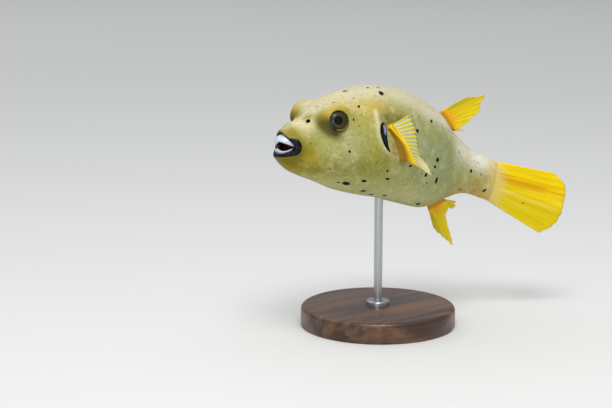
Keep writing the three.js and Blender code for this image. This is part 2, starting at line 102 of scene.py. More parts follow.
# The lid: the radius of its crest and of its edge, how far it stands off the ball, and how much more above.
LID_CREST = 6.35
LID_EDGE = 6.1
LID_RISE = 0.12
LID_FOLD = 0.75
# Its rings: the share of the way from crest to edge, how much of the rise is left, and how far it tucks in.
LID_RINGS = (
    (0.35, 1.0, 0.0), (0.7, 0.85, 0.0), (0.92, 0.5, 0.0), (1.0, 0.1, 0.0), (1.0, 0.0, 0.5), (1.3, 0.0, 1.6))
HOLLOW_RINGS = 15
HOLLOW_LEAST_AT = math.radians(50)

MOUTH_HEIGHT = 1.2
LIP_SIDE = 8.3
LIP_UP = 7.4
LIP_DOWN = 7.1
LIP_DRAWN_IN = 0.33
LIP_TOP_RADIUS = 1.2
LIP_CORNER_RADIUS = 2.1
LIP_BOTTOM_RADIUS = 1.6
LIP_TURN = (-55, 160)
LIP_ROLLS = 18
# Rings of the throat: how far behind the lips, half width and half height.
THROAT = ((8.2, 7.1, 6.6), (9.6, 6.9, 6.4), (11.2, 6.0, 5.6), (12.6, 4.2, 4.0), (13.4, 1.9, 1.8))

BEAK_CENTRE = np.array((6.0, 0.0, 1.2))
BEAK_RADII = np.array((9.1, 7.2, 7.0))
BEAK_THICKNESS = 1.2
BEAK_ROUNDING = 0.28
BEAK_TURN = (1.2, 84)
BEAK_RISE = 78

# A nostril's rings, from the skin inwards: radius, height (on the skin where there is none), and darkness of
# painted shade.
NOSTRIL_BEHIND = 12.0
NOSTRIL_DEGREES = 120
NOSTRIL_RINGS = (
    (1.91, None, 0.0), (1.79, None, 0.0), (1.65, 0.25, 0.0), (1.5, 0.5, 0.1), (1.32, 0.62, 0.35),
    (1.15, 0.52, 0.9), (1.05, 0.2, 1.0), (0.95, -0.4, 1.0), (0.7, -1.1, 1.0), (0.3, -1.4, 1.0))

# A gill opening's ends, behind the lips and in degrees around the body, and its rings, from the skin inwards:
# half width, half height, depth and darkness of painted shade.
GILL_ENDS = np.array(((52.0, 151.0), (57.8, 176.0)))
GILL_RINGS = (
    (3.7, 9.6, 0.0, 0.0), (3.3, 9.3, -0.1, 0.0), (2.95, 9.05, -0.1, 0.0), (2.75, 8.85, 0.05, 0.15),
    (2.6, 8.7, 0.4, 0.8), (2.5, 8.6, 0.9, 1.0), (2.2, 8.4, 1.5, 1.0), (1.8, 8.0, 2.1, 1.0),
    (1.2, 7.4, 2.6, 1.0), (0.4, 6.6, 2.8, 1.0))
GILL_BOW = 1.75
# Rings shallower than this carry a painted highlight on the top of the rear wall.
GILL_HIGHLIGHT_DEPTH = 2.2

# Half sizes, back and up: of the block that an opening takes out of the skin, and of the oval that the skin
# around it runs in to.
EYE_CUT = (9.6, 10.2)
EYE_OVAL = (9.0, 9.6)
NOSTRIL_CUT = (2.3, 2.7)
NOSTRIL_OVAL = (2.0, 2.3)
GILL_CUT = (6.4, 11.4)
GILL_OVAL = (5.9, 10.7)
CUT_DEPTH = 9
RUN_IN_RINGS = 9
PROBE_START = 14
PROBE_LENGTH = 40

# ---- the fins

# Rays fan out of a base line. Each entry of a fan is a share of the base line from front to back, how long
# the ray is there, and its angle above the spine, all taken smoothly over the fan. An edge is half a web's
# thickness, and a relief is what the rays add to it.
CAUDAL_FAN = (
    (0, 39.5, 2), (0.2, 48.5, 0.6), (0.4, 50, -1.6), (0.6, 50, -5), (0.8, 48.5, -10.5), (1, 40, -18))
CAUDAL_RAYS = 9
CAUDAL_EDGE = 0.34
CAUDAL_RELIEF = 0.26
CAUDAL_FLESH = 10.5
CAUDAL_ROWS = 66

DORSAL_BASE = ((113.4, 34.2), (125.2, 24.6))
DORSAL_FAN = (
    (0, 17.4, 38.8), (0.14, 24.6, 37.5), (0.25, 27.6, 39.5), (0.4, 24.2, 35.5), (0.55, 20.4, 31.4),
    (0.7, 14.2, 29.4), (0.82, 8.9, 25), (0.91, 3.0, 22), (1, 6.6, 14))
ANAL_BASE = ((117.6, -24.6), (128.6, -17.2))
ANAL_FAN = (
    (0, 11.6, -58.8), (0.12, 17.2, -57.3), (0.25, 23.4, -51), (0.38, 28.2, -48.8), (0.5, 21.8, -51),
    (0.62, 15.1, -54), (0.72, 9.3, -56), (0.82, 6.0, -40), (0.9, 8.4, -17), (1, 7.0, 2))
FIN_RAYS = 9
FIN_EDGE = 0.30
FIN_RELIEF = 0.14
FIN_FLESH = 3.0
FIN_SUNK = 0.16

# A pectoral fin's base runs between two places on the body. Its tips stand back, out and up from the base.
PECTORAL_TOP = (56.8, 153)
PECTORAL_BOTTOM = (66.6, 178)
PECTORAL_BACK = (7.6, 10, 11, 11.3, 11.2, 12.2, 18, 20.5)
PECTORAL_OUT = (3.5, 3.1, 2.7, 2.2, 1.8, 1.6, 2, 3)
PECTORAL_UP = (5.6, 4.4, 2.7, 0.9, -0.7, -2.3, -4.2, -6)
PECTORAL_RAYS = 13
PECTORAL_FOOT = 1.5
PECTORAL_EDGE = 0.32
PECTORAL_RELIEF = 0.16
PECTORAL_KNOTS = (0, 0.12, 0.25, 0.38, 0.58, 0.78, 1.0)

# ---- the stand

BASE_RADIUS = 46
BASE_HEIGHT = 12
BASE_TOP_ROUNDING = 2.4
FOOT_ROUNDING = 1.0
ROD_RADIUS = 2.5
ROD_INTO_BODY = 1.5
COLLAR_RADIUS = 7
COLLAR_HEIGHT = 3

# ---- the skin's grid and its forms

COLUMNS = 280
FIRST_RING = 1.4
FINE_STEP = 0.48
FINE_END = 48
COARSE_STEP = 0.98
MERGE = 1e-5
AXIS_MERGE = 1e-7

# Soft swells and hollows: centre behind, side and height; their radii; and how far the skin moves out.
SWELLS = (
    ((6.5, 11.0, 0.0), (4.5, 5.0, 6.0), 0.7),      # muzzle beside the corners of the mouth
    ((5.0, 0.0, 12.0), (3.6, 7.0, 4.0), 1.5),      # muzzle over the mouth
    ((14.5, 15.5, 3.0), (3.2, 6.0, 9.0), -0.8),    # crease behind the muzzle
    ((16.0, 8.0, -13.0), (4.0, 8.0, 4.0), -0.5),   # crease under the chin
    ((34.0, 23.0, -3.0), (9.0, 6.0, 9.0), 0.9),    # cheek
    ((59.0, 23.5, 17.0), (7.0, 6.0, 6.0), -1.5),   # hollow over the pectoral fin
    ((70.0, 27.0, 8.0), (7.0, 6.0, 8.0), -0.6),    # hollow behind the pectoral fin
    ((45.0, 25.0, 14.0), (6.0, 6.0, 9.0), 0.5),    # gill cover
    ((60.0, 26.0, -7.0), (8.0, 6.0, 5.0), 0.5),    # flank under the pectoral fin
    ((119.0, 0.0, 30.5), (7.0, 3.2, 6.5), 1.3),    # fleshy foot of the dorsal fin
    ((123.0, 0.0, -21.5), (6.5, 3.2, 5.5), 1.2),   # fleshy foot of the anal fin
)

# Rounded ridges along a line of (behind, degrees) points: the line, its half width, and how proud it stands.
GILL_RIM = ((48.2, 139.5), (48.3, 146), (48.8, 153), (48.8, 160), (50.6, 165.5), (54.5, 171.5), (59.5, 176.5),
            (64.5, 178))
PECTORAL_ROOT = ((58.0, 150.5), (61.2, 162), (66.8, 179.5))
RIDGES = ((GILL_RIM, 1.5, 0.9), (PECTORAL_ROOT, 2.5, 2.7))
RIDGE_REACH = 20
RIDGE_END = 0.18

# Low waves that leave the skin a little uneven: how tight, where each starts, and how high.
LUMPS = ((0.21, 0.4, 0.10), (0.37, 2.1, 0.07), (0.61, 4.0, 0.035))


# ---- curves

BELL_STEPS = 10
BELL_REACH = 4 * BELL_STEPS


def smoothstep(value):
    value = np.clip(value, 0, 1)
    return value * value * (3 - 2 * value)


def signed_power(value, power):
    return np.sign(value) * np.abs(value) ** power


def lerp(start, end, share):
    return start + (end - start) * share


def unit(vectors):
    return vectors / np.maximum(np.linalg.norm(vectors, axis=-1, keepdims=True), 1e-9)


def soft_blot(points, centre, radii):
    """1 at a centre, fading away over its radii."""
    return np.exp(-(((points - centre) / radii) ** 2).sum(-1))


def round_off(distance, width):
    """0 at an edge and 1 within it, as a rounded edge's thickness runs."""
    return np.sqrt(np.clip(distance / width, 0, 1))


def smooth_curve(places, values, softness):
    """A curve through the values that never overshoots them, with its bends softened."""
    places = np.array(places, float)
    values = np.array(values, float)
    step = np.diff(places)
    rise = np.diff(values) / step
    slope = np.zeros_like(values)
    slope[0], slope[-1] = rise[0], rise[-1]
    for i in range(1, len(values) - 1):
        before, after = rise[i - 1], rise[i]
        if before * after > 0:
            near = 2 * step[i] + step[i - 1]
            far = step[i] + 2 * step[i - 1]
            slope[i] = (near + far) / (near / before + far / after)
    margin = 5 * softness
    fine = np.arange(places[0] - margin, places[-1] + margin, softness / BELL_STEPS)
    part = np.clip(np.searchsorted(places, fine, side="right") - 1, 0, len(step) - 1)
    share = np.clip((fine - places[part]) / step[part], 0, 1)
    change = values[part + 1] - values[part]
    bend = step[part] * (slope[part] + slope[part + 1]) - 2 * change
    turn = 3 * change - step[part] * (2 * slope[part] + slope[part + 1])
    curve = values[part] + share * (step[part] * slope[part] + share * (turn + share * bend))
    curve += slope[0] * np.minimum(fine - places[0], 0) + slope[-1] * np.maximum(fine - places[-1], 0)
    bell = np.exp(-0.5 * (np.arange(-BELL_REACH, BELL_REACH + 1) / BELL_STEPS) ** 2)
    soft = np.convolve(np.pad(curve, BELL_REACH, mode="edge"), bell / bell.sum(), mode="valid")
    return lambda at: np.interp(at, fine, soft)


def even_curve(values):
    return smooth_curve(np.linspace(0, 1, len(values)), values, 0.03)


def fan_curves(fan, softness):
    """A fin's ray length and ray angle, in radians, over its base line."""
    shares, lengths, leans = zip(*fan)
    return smooth_curve(shares, lengths, softness), smooth_curve(shares, np.radians(leans), softness)


height_up = smooth_curve(BEHIND, HEIGHT_UP, BODY_SOFTNESS)
height_down = smooth_curve(BEHIND, HEIGHT_DOWN, BODY_SOFTNESS)
half_width = smooth_curve(BEHIND, HALF_WIDTH, BODY_SOFTNESS)


# ---- the fish's own frame

def spine_frame(behind):
    share = smoothstep((behind - CURL_START) / (CURL_END - CURL_START))
    left = CURL_LEFT * share
    down = CURL_DOWN * share
    along = np.stack([np.cos(left) * np.cos(down), -np.sin(left) * np.cos(down), -np.sin(down)], -1)
    side = np.stack([np.sin(left), np.cos(left), 0 * left], -1)
    return along, side, np.cross(along, side)


SPINE_PLACES = np.arange(0, SPINE_LENGTH, SPINE_STEP)
SPINE = np.zeros((len(SPINE_PLACES), 3))
SPINE[1:] = np.cumsum(spine_frame(SPINE_PLACES[1:] - SPINE_STEP / 2)[0] * SPINE_STEP, axis=0)


def posed(points):
    """Points of the straight fish, in millimetres, at their place over the stand, in metres."""
    behind = points[:, 0]
    along, side, up = spine_frame(behind)
    centre = np.stack([np.interp(behind, SPINE_PLACES, SPINE[:, axis]) for axis in range(3)], -1)
    centre += along * np.minimum(behind, 0)[:, None]
    bent = centre + side * points[:, 1:2] + up * points[:, 2:3] - (POSE_CENTRE, 0, 0)
    turned = np.stack([
        bent[:, 0] * math.cos(NOSE_UP) + bent[:, 2] * math.sin(NOSE_UP),
        bent[:, 1],
        bent[:, 2] * math.cos(NOSE_UP) - bent[:, 0] * math.sin(NOSE_UP)], -1)
    return (turned + POSE_PLACE) * MILLIMETRE


def mirrored(points):
    """Points brought to the fish's right, and the side that each came from."""
    hand = np.where(points[..., 1:2] < 0, -1.0, 1.0)
    return points * np.concatenate([np.ones_like(hand), hand, np.ones_like(hand)], -1), hand[..., 0]


def eye_place(points):
    """How far points are behind, above and out of the eye's centre, as seen from straight before it."""
    away = mirrored(points)[0] - EYE_CENTRE
    return away @ EYE_BACK, away @ EYE_UP, away @ EYE_SIGHT


def body_surface(behind, degrees):
    """Points on the bare body: 0 degrees is its right side, 90 its back, 180 its left side, 270 its belly."""
    across = np.cos(np.radians(degrees))
    rise = np.sin(np.radians(degrees))
    snout = 1 - np.clip((behind - SNOUT_ROUND_FROM) / (SNOUT_ROUND_TO - SNOUT_ROUND_FROM), 0, 1)
    roundness = np.where(rise > 0, lerp(ROUNDNESS, SNOUT_TOP_ROUNDNESS, snout), ROUNDNESS)
    tall = np.where(rise > 0, height_up(behind), height_down(behind))
    side = half_width(behind) * signed_power(across, 2 / roundness)
    height = tall * signed_power(rise, 2 / ROUNDNESS)
    sweep = SNOUT_SWEEP * np.exp(-(behind / SNOUT_SWEEP_LENGTH) ** 2) * across ** 2
    return np.stack([behind + sweep, side, height], -1)


def raise_mounds(points):
    """Lifts the skin around each eye to a mound, level across its top and higher at the brow."""
    right, hand = mirrored(points)
    back, up, out = eye_place(points)
    away = np.hypot(back, up)
    reach = MOUND_REACH[0] + (MOUND_REACH[1] * back + MOUND_REACH[2] * up) / np.maximum(away, 1)
    share = 1 - smoothstep((away - MOUND_RADIUS) / (reach - MOUND_RADIUS))
    top = MOUND_TOP[0] + (MOUND_TOP[1] * back + MOUND_TOP[2] * up) / MOUND_RADIUS
    right = right + EYE_SIGHT * ((top - out) * share)[..., None]
    right[..., 1] *= hand
    return right


# ---- the skin's sculpted forms

def skin_normals(points):
    around = np.roll(points, -1, axis=1) - np.roll(points, 1, axis=1)
    return unit(np.cross(around, np.gradient(points, axis=0)))


def line_on_body(line):
    """A finely stepped line over the right side of the body."""
    behind, degrees = np.array(line, float).T
    steps = np.linspace(0, len(line) - 1, 60)
    places = np.arange(len(line))
    return body_surface(np.interp(steps, places, behind), np.interp(steps, places, 180 - degrees))


def sculpt(points):
    """Moves the skin in and out by its swells and ridges, and leaves it a little uneven."""
    right = mirrored(points)[0]
    move = np.zeros(points.shape[:2])
    for centre, radii, amount in SWELLS:
        move += amount * soft_blot(right, centre, radii)
    for line, width, amount in RIDGES:
        path = line_on_body(line)
        close = np.abs(right[:, :, 0] - path[:, 0].mean()) < RIDGE_REACH
        gap = np.linalg.norm(right[close][:, None] - path[None], axis=-1)
        share = gap.argmin(1) / (len(path) - 1)
        ends = smoothstep(share / RIDGE_END) * smoothstep((1 - share) / RIDGE_END)
        move[close] += amount * (0.25 + 0.75 * ends) * np.exp(-(gap.min(1) / width) ** 2)
    for wave, phase, amount in LUMPS:
        lumps = np.sin(wave * points[..., 0] + phase) * np.sin(wave * 1.3 * points[..., 1] + 2 * phase)
        move += amount * lumps * np.cos(wave * 0.9 * points[..., 2] + 3 * phase)
    fade = smoothstep((points[..., 0] - 2) / 3) * smoothstep((BODY_LENGTH - 3 - points[..., 0]) / 8)
    return points + skin_normals(points) * (move * fade)[..., None]


# ---- the skin's rows

def lip_rows(degrees):
    """Rows from deep in the throat, over the rolled lips, to the edge of the muzzle."""
    turn = np.radians(degrees)
    across, rise = np.cos(turn), np.sin(turn)
    tall = np.where(rise > 0, LIP_UP, LIP_DOWN)
    drawn_in = np.where(rise > 0, LIP_DRAWN_IN, 0.0) * (2 * across * rise) ** 2
    line = np.stack([
        SNOUT_SWEEP * across ** 2 + 0.2,
        LIP_SIDE * across,
        MOUTH_HEIGHT + tall * rise * (1 - drawn_in)], -1)
    ahead = unit(np.roll(line, -1, axis=0) - np.roll(line, 1, axis=0))
    forward = unit(ahead * ahead[:, :1] - (1, 0, 0))
    out = np.cross(forward, ahead)
    out *= np.sign((out * (line - (0, 0, MOUTH_HEIGHT)) * (0, 1, 1)).sum(-1))[:, None]
    middle = lerp(LIP_TOP_RADIUS, LIP_BOTTOM_RADIUS, smoothstep(0.5 - 0.5 * rise))
    radius = lerp(middle, LIP_CORNER_RADIUS, across ** 2)[:, None]
    walls = [np.stack([behind + 0 * turn, wide * across, MOUTH_HEIGHT + high * rise], -1)
             for behind, wide, high in reversed(THROAT)]
    return walls + [line + radius * (forward * math.sin(roll) - out * math.cos(roll))
                    for roll in np.radians(np.linspace(*LIP_TURN, LIP_ROLLS))]


def ray_pattern(share, rays, out):
    """1 along the middle of a fin ray and 0 between rays. Each ray forks on its way out."""
    single = 0.5 + 0.5 * np.cos(2 * math.pi * rays * share)
    double = 0.5 + 0.5 * np.cos(4 * math.pi * rays * share + math.pi)
    return lerp(single, double, 0.55 * smoothstep((out - 0.35) / 0.5))


def caudal_row(degrees, out):
    """One row of the tail fin, at a share of every ray's reach. It carries on from the body's last ring."""
    across = np.cos(np.radians(degrees))
    rise = np.sin(np.radians(degrees))
    top, bottom = height_up(BODY_LENGTH), height_down(BODY_LENGTH)
    foot = np.where(rise > 0, top, bottom) * signed_power(rise, 2 / ROUNDNESS)
    share = (top - foot) / (top + bottom)
    reach_at, lean_at = fan_curves(CAUDAL_FAN, 0.03)
    length, lean = reach_at(share), lean_at(share)
    ray = ray_pattern(share, CAUDAL_RAYS, out)
    length = length * out * (1 + 0.009 * out * (2 * ray - 1))
    flesh = np.exp(-length / CAUDAL_FLESH)
    half = CAUDAL_EDGE + (half_width(BODY_LENGTH) - CAUDAL_EDGE) * flesh
    half = half + CAUDAL_RELIEF * (ray - 0.5) * (1 - flesh) * (1 - 0.5 * out)
    half = half * round_off(1 - out, 0.02)
    side = half * signed_power(across, lerp(2 / ROUNDNESS, 0.4, 1 - flesh))
    sway = 0.9 * np.sin(5.0 * share + 1.0) * out ** 2 + 0.35 * np.sin(17 * share) * out ** 3
    return np.stack([
        BODY_LENGTH + length * np.cos(lean),
        side + sway,
        foot + length * np.sin(lean)], -1), share


def black_lips(degrees, lip_count, places, count):
    """How black the skin is around the mouth, thin over it and widest at its corners, and the olive beyond.

    roll is how far around the lip's roll each row lies, in degrees, and carries on over the muzzle.
    """
    across = np.cos(np.radians(degrees))
    rise = np.sin(np.radians(degrees))
    roll = np.full(count, 999.0)
    roll[:lip_count - LIP_ROLLS] = -90
    roll[lip_count - LIP_ROLLS:lip_count] = np.linspace(*LIP_TURN, LIP_ROLLS)
    roll[lip_count:lip_count + len(places)] = LIP_TURN[1] + 36 * (places - places[0] + 0.3)
    middle = np.where(rise > 0, 52, 100)
    limit = lerp(middle, 180, np.abs(across) ** np.where(rise > 0, 1.3, 1.6))
    beyond = roll[:, None] - limit[None]
    return 1 - smoothstep((beyond + 18) / 36), 1 - smoothstep(beyond / 170)


def skin_rows():
    """Every row of the skin from the throat to the tail fin's edge, with what each row is part of."""
    degrees = 270 + 360 * np.arange(COLUMNS) / COLUMNS
    rows = lip_rows(degrees)
    lip_count = len(rows)
    places = np.concatenate([
        np.arange(FIRST_RING, FINE_END, FINE_STEP), np.arange(FINE_END, BODY_LENGTH - 0.5, COARSE_STEP)])
    rows += [body_surface(place + 0 * degrees, degrees) for place in places]
    body_end = len(rows)
    outs = np.linspace(0, 1, CAUDAL_ROWS)
    for out in outs:
        row, share = caudal_row(degrees, out)
        rows.append(row)
    points = np.stack(rows)
    for _ in range(6):
        join = slice(lip_count - 4, lip_count + 6)
        before = points[lip_count - 5:lip_count + 5]
        after = points[lip_count - 3:lip_count + 7]
        points[join] = 0.5 * points[join] + 0.25 * (before + after)
    points = sculpt(raise_mounds(points))
    lip, lip_shade = black_lips(degrees, lip_count, places, len(rows))
    throat, fan, pit = np.zeros((3, *points.shape[:2]))
    throat[:len(THROAT) + 2] = 1
    fan[body_end:] = outs[:, None]
    return points, {"lip": lip, "lip_shade": lip_shade, "throat": throat, "fan": fan, "pit": pit,
                    "share": np.repeat(share[None], len(rows), 0)}


# ---- openings in the skin

class Opening:
    """A flat frame over a place in the skin: one direction back, one up, and one straight out."""

    def __init__(self, centre, back, out):
        self.centre = centre
        self.out = unit(out)
        self.back = unit(back - self.out * (back @ self.out))
        if self.back[0] < 0:
            self.back = -self.back
        self.up = np.cross(self.back, self.out)
        if self.up[2] < 0:
            self.up = -self.up

    def inside(self, points):
        away = points - self.centre
        return away @ self.back, away @ self.up, away @ self.out

    def place(self, back, up, out):
        return Vector(self.centre + self.back * back + self.up * up + self.out * out)

    def skin_height(self, surface, back, up):
        """How far out the skin lies at a place in the flat frame."""
        hit = surface.ray_cast(self.place(back, up, PROBE_START), Vector(-self.out), PROBE_LENGTH)[0]
        if hit is None:
            hit = surface.find_nearest(self.place(back, up, 0))[0]
        return self.inside(np.array(hit))[2]


def grow_ring(bm, ring):
    """A new ring of points, joined by faces to an open one and in the same order."""
    edges = [bm.edges.get(pair) for pair in zip(ring, ring[1:] + ring[:1])]
    made = bmesh.ops.extrude_edge_only(bm, edges=edges)["geom"]
    fresh = {item for item in made if isinstance(item, bmesh.types.BMVert)}
    return [next(edge.other_vert(v) for edge in v.link_edges if edge.other_vert(v) in fresh) for v in ring]


def close_ring(bm, ring):
    bmesh.ops.pointmerge(bm, verts=ring, merge_co=sum((v.co for v in ring), Vector()) / len(ring))


def cut_block(bm, grid, points, opening, size):
    """Takes a block of the skin's grid away over an opening, and returns the ring of points around it."""
    back, up, out = opening.inside(points)
    close = (np.hypot(back / size[0], up / size[1]) < 1) & (np.abs(out) < CUT_DEPTH)
    rows, columns = np.nonzero(close)
    top, bottom = rows.min() - 1, rows.max() + 1
    first, last = columns.min() - 1, columns.max() + 1
    inner = [grid[row][column] for row in range(top + 1, bottom) for column in range(first + 1, last)]
    bmesh.ops.delete(bm, geom=inner, context="VERTS")
    ring = [grid[top][column] for column in range(first, last)]
    ring += [grid[row][last] for row in range(top, bottom)]
    ring += [grid[bottom][column] for column in range(last, first, -1)]
    return ring + [grid[row][first] for row in range(bottom, top, -1)]


def shape_opening(bm, surface, ring, opening, oval, profile):
    """Fills the ring around an opening with rings of skin.

    The skin's own surface runs in to the oval. profile is a list of functions of the angle around the
    opening. Each gives a point's back, up and out in the flat frame, with out None where the point lies on
    the skin, and how much painted shade of the dark inside shows there, with values over 1 for a painted
    highlight.
    """
    pit = bm.verts.layers.float["pit"]
    start = np.array([v.co[:] for v in ring])
    back, up, _ = opening.inside(start)
    own = np.unwrap(np.arctan2(up / oval[1], back / oval[0]))
    even = np.linspace(0, np.sign(own[-1] - own[0]) * 2 * math.pi, len(ring), endpoint=False)
    even += (own - even).mean()
    for step in range(1, RUN_IN_RINGS + 1):
        share = step / RUN_IN_RINGS
        ring = grow_ring(bm, ring)
        for v, begin, turn in zip(ring, start, lerp(own, even, smoothstep(share))):
            across, rise = oval[0] * math.cos(turn), oval[1] * math.sin(turn)
            goal = np.array(opening.place(across, rise, opening.skin_height(surface, across, rise)))
            v.co = surface.find_nearest(Vector(lerp(begin, goal, share)))[0]
    for place in profile:
        ring = grow_ring(bm, ring)
        for v, turn in zip(ring, even):
            across, rise, out, v[pit] = place(turn)
            if out is None:
                out = opening.skin_height(surface, across, rise)
            v.co = opening.place(across, rise, out)
    close_ring(bm, ring)


def eye_profile(surface, opening):
    """The eye's surround: a soft hollow, deepest below and before the eye, and the lid over its top."""
    def lid_crest(turn):
        return LID_CREST + 0.3 * max(math.sin(turn), 0)

    def lid_edge(turn):
        return LID_EDGE - 0.5 * max(math.sin(turn), 0) ** 2

    def lid_rise(turn):
        return LID_RISE + LID_FOLD * float(smoothstep((math.sin(turn - math.radians(25)) + 0.3) / 1.1))

    def ball(radius):
        return EYE_HALF_DEPTH * math.sqrt(max(1 - (radius / EYE_RADIUS) ** 2, 0))

    def around(share):
        def place(turn):
            radius = lerp(EYE_OVAL[0], lid_crest(turn), share)
            back = radius * math.cos(turn)
            up = radius * math.sin(turn) * lerp(EYE_OVAL[1] / EYE_OVAL[0], 1, share)
            skin = opening.skin_height(surface, back, up)
            crest = ball(lid_edge(turn)) + lid_rise(turn)
            deep = 0.5 - 0.5 * math.cos(turn - HOLLOW_LEAST_AT)
            hollow = (0.05 + deep) * math.sin(math.pi * share ** 1.3) ** 2
            return back, up, lerp(skin, crest, float(smoothstep(share))) - hollow, 0.0
        return place

    def lid(share, lift, tuck):
        def place(turn):
            radius = lerp(lid_crest(turn), lid_edge(turn), share)
            out = ball(lid_edge(turn)) + lid_rise(turn) * lift - tuck
            return radius * math.cos(turn), radius * math.sin(turn), out, 0.0
        return place

    hollow_rings = [around(share) for share in np.linspace(0.07, 1, HOLLOW_RINGS)]
    return hollow_rings + [lid(*ring) for ring in LID_RINGS]


def nostril_profile():
    """A short ring of skin with a pit in it."""
    def circle(radius, out, dark):
        return lambda turn: (radius * math.cos(turn), radius * math.sin(turn), out, dark)

    return [circle(*ring) for ring in NOSTRIL_RINGS]


def gill_profile(surface, opening):
    """A bowed slit, widest toward its top: a pocket painted dark as shade, with a painted highlight at the
    top of its rear wall.
    """
    def slit(wide, tall, depth, dark):
        def place(turn):
            level = math.sin(turn)
            bow = GILL_BOW * (1 - level * level) * (1 - 0.35 * level)
            back = wide * (1 + 0.5 * level) * math.cos(turn) - bow
            rise = tall * level
            # where the painted highlight lies: on the rear wall, toward the top
            pale = smoothstep((math.cos(turn) - 0.15) / 0.5) * smoothstep((level + 0.1) / 0.6)
            rear = 0.5 + 0.5 * math.cos(turn)
            out = opening.skin_height(surface, back, rise) - depth * (1 - 0.55 * rear)
            return back, rise, out, dark * (1 + 0.9 * pale * float(depth < GILL_HIGHLIGHT_DEPTH))
        return place

    return [slit(*ring) for ring in GILL_RINGS]


def body_opening(points, normals, behind, degrees, hand):
    """A frame on the skin at a place given on the fish's left side, or its mirror image."""
    if hand == RIGHT:
        degrees = 180 - degrees
    here = raise_mounds(body_surface(np.array([behind]), np.array([degrees])))[0]
    nearest = np.unravel_index(((points - here) ** 2).sum(-1).argmin(), points.shape[:2])
    return Opening(points[nearest], np.array((1.0, 0, 0)), normals[nearest])


# ---- meshes

def grid_mesh(points, layers, closed=True):
    """A bmesh grid, laid over an array of points, with its rows of vertices and a layer for each mask."""
    rows, columns = points.shape[:2]
    bm = bmesh.new()
    across = columns if closed else columns - 1
    made = {name: bm.verts.layers.float.new(name) for name in layers}
    bmesh.ops.create_grid(bm, x_segments=across, y_segments=rows - 1, size=1)
    bm.verts.ensure_lookup_table()
    wide = across + 1
    grid = [[bm.verts[row * wide + column] for column in range(wide)] for row in range(rows)]
    for row in range(rows):
        for column in range(wide):
            v = grid[row][column]
            source = column % columns
            v.co = points[row, source]
            for name, values in layers.items():
                v[made[name]] = values[row, source]
    return bm, grid


def piece_from(bm, name):
    """A piece from a bmesh, with its faces outwards. The bmesh is freed."""
    bm.normal_update()
    bmesh.ops.recalc_face_normals(bm, faces=bm.faces)
    mesh = bpy.data.meshes.new(name)
    bm.to_mesh(mesh)
    bm.free()
    piece = bpy.data.objects.new(name, mesh)
    stage.collection.objects.link(piece)
    mesh.shade_smooth()
    return piece


def mesh_points(piece):
    points = np.zeros(len(piece.data.vertices) * 3)
    piece.data.vertices.foreach_get("co", points)
    return points.reshape(-1, 3)


def mesh_normals(piece):
    normals = np.zeros(len(piece.data.vertices) * 3, np.float32)
    piece.data.vertex_normals.foreach_get("vector", normals)
    return normals.reshape(-1, 3)


def store(piece, name, values):
    kind = "FLOAT_VECTOR" if values.ndim == 2 else "FLOAT"
    field = "vector" if values.ndim == 2 else "value"
    attribute = piece.data.attributes.get(name) or piece.data.attributes.new(name, kind, "POINT")
    attribute.data.foreach_set(field, np.ascontiguousarray(values, np.float32).ravel())


def pose_piece(piece):
    """Keeps the straight fish's coordinates for the paint, and moves the piece to its pose."""
    points = mesh_points(piece)
    store(piece, "fish", points)
    piece.data.vertices.foreach_set("co", posed(points).ravel())
    piece.data.update()


def finish_piece(piece, material, slot, *nodes):
    piece.data.materials.append(material)
    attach(piece, "root")
    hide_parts(*nodes)


def make_skin():
    """The whole skin: a grid from throat to tail fin, with its openings shaped and every edge closed."""
    points, layers = skin_rows()
    bm, grid = grid_mesh(points, layers)
    bmesh.ops.recalc_face_normals(bm, faces=bm.faces)
    surface = BVHTree.FromBMesh(bm)
    normals = skin_normals(points)
    top, bottom = body_surface(*GILL_ENDS.T)
    for hand in (LEFT, RIGHT):
        turn = np.array((1, hand, 1))
        eye = Opening(EYE_CENTRE * turn, EYE_BACK * turn, EYE_SIGHT * turn)
        nose = body_opening(points, normals, NOSTRIL_BEHIND, NOSTRIL_DEGREES, hand)
        gill = body_opening(points, normals, *GILL_ENDS.mean(0), hand)
        tall = (top - bottom) * (1, -hand, 1)
        gill = Opening(gill.centre, np.cross(tall, gill.out), gill.out)
        for opening, cut, oval, profile in (
                (eye, EYE_CUT, EYE_OVAL, eye_profile(surface, eye)),
                (nose, NOSTRIL_CUT, NOSTRIL_OVAL, nostril_profile()),
                (gill, GILL_CUT, GILL_OVAL, gill_profile(surface, gill))):
            ring = cut_block(bm, grid, points, opening, cut)
            shape_opening(bm, surface, ring, opening, oval, profile)
    fin_edge = grid[-1]
    for column in range(COLUMNS // 2 + 1):
        mate = (COLUMNS - column) % COLUMNS
        fin_edge[column].co = (fin_edge[column].co + fin_edge[mate].co) / 2
        fin_edge[mate].co = fin_edge[column].co
    fin_edge[COLUMNS].co = fin_edge[0].co
    seam = {v for row in grid for v in (row[0], row[-1])} | set(fin_edge)
    bmesh.ops.remove_doubles(bm, verts=list(seam), dist=MERGE)
    close_ring(bm, [v for v in bm.verts if v.is_boundary])
    return piece_from(bm, "skin")


# ---- fins

def around_blade(columns):
    """Each point's share of a fin's base on the way around its blade, and the face of the blade it is on."""
    around = np.arange(columns) / columns
    share = np.where(around < 0.5, 2 * around, 2 - 2 * around)
    return 0.5 - 0.5 * np.cos(math.pi * share), np.where(around < 0.5, 1.0, -1.0)


def close_blade(points, layers, name):
    """Joins a blade's last row edge to edge, closes its hidden foot, and makes it a piece."""
    columns = points.shape[1]
    bm, grid = grid_mesh(points, layers)
    for column in range(columns + 1):
        mate = (columns - column) % columns
        grid[-1][column].co = (points[-1, column % columns] + points[-1, mate]) / 2
    bmesh.ops.remove_doubles(bm, verts=bm.verts, dist=MERGE)
    bmesh.ops.holes_fill(bm, edges=[edge for edge in bm.edges if edge.is_boundary], sides=0)
    return piece_from(bm, name)


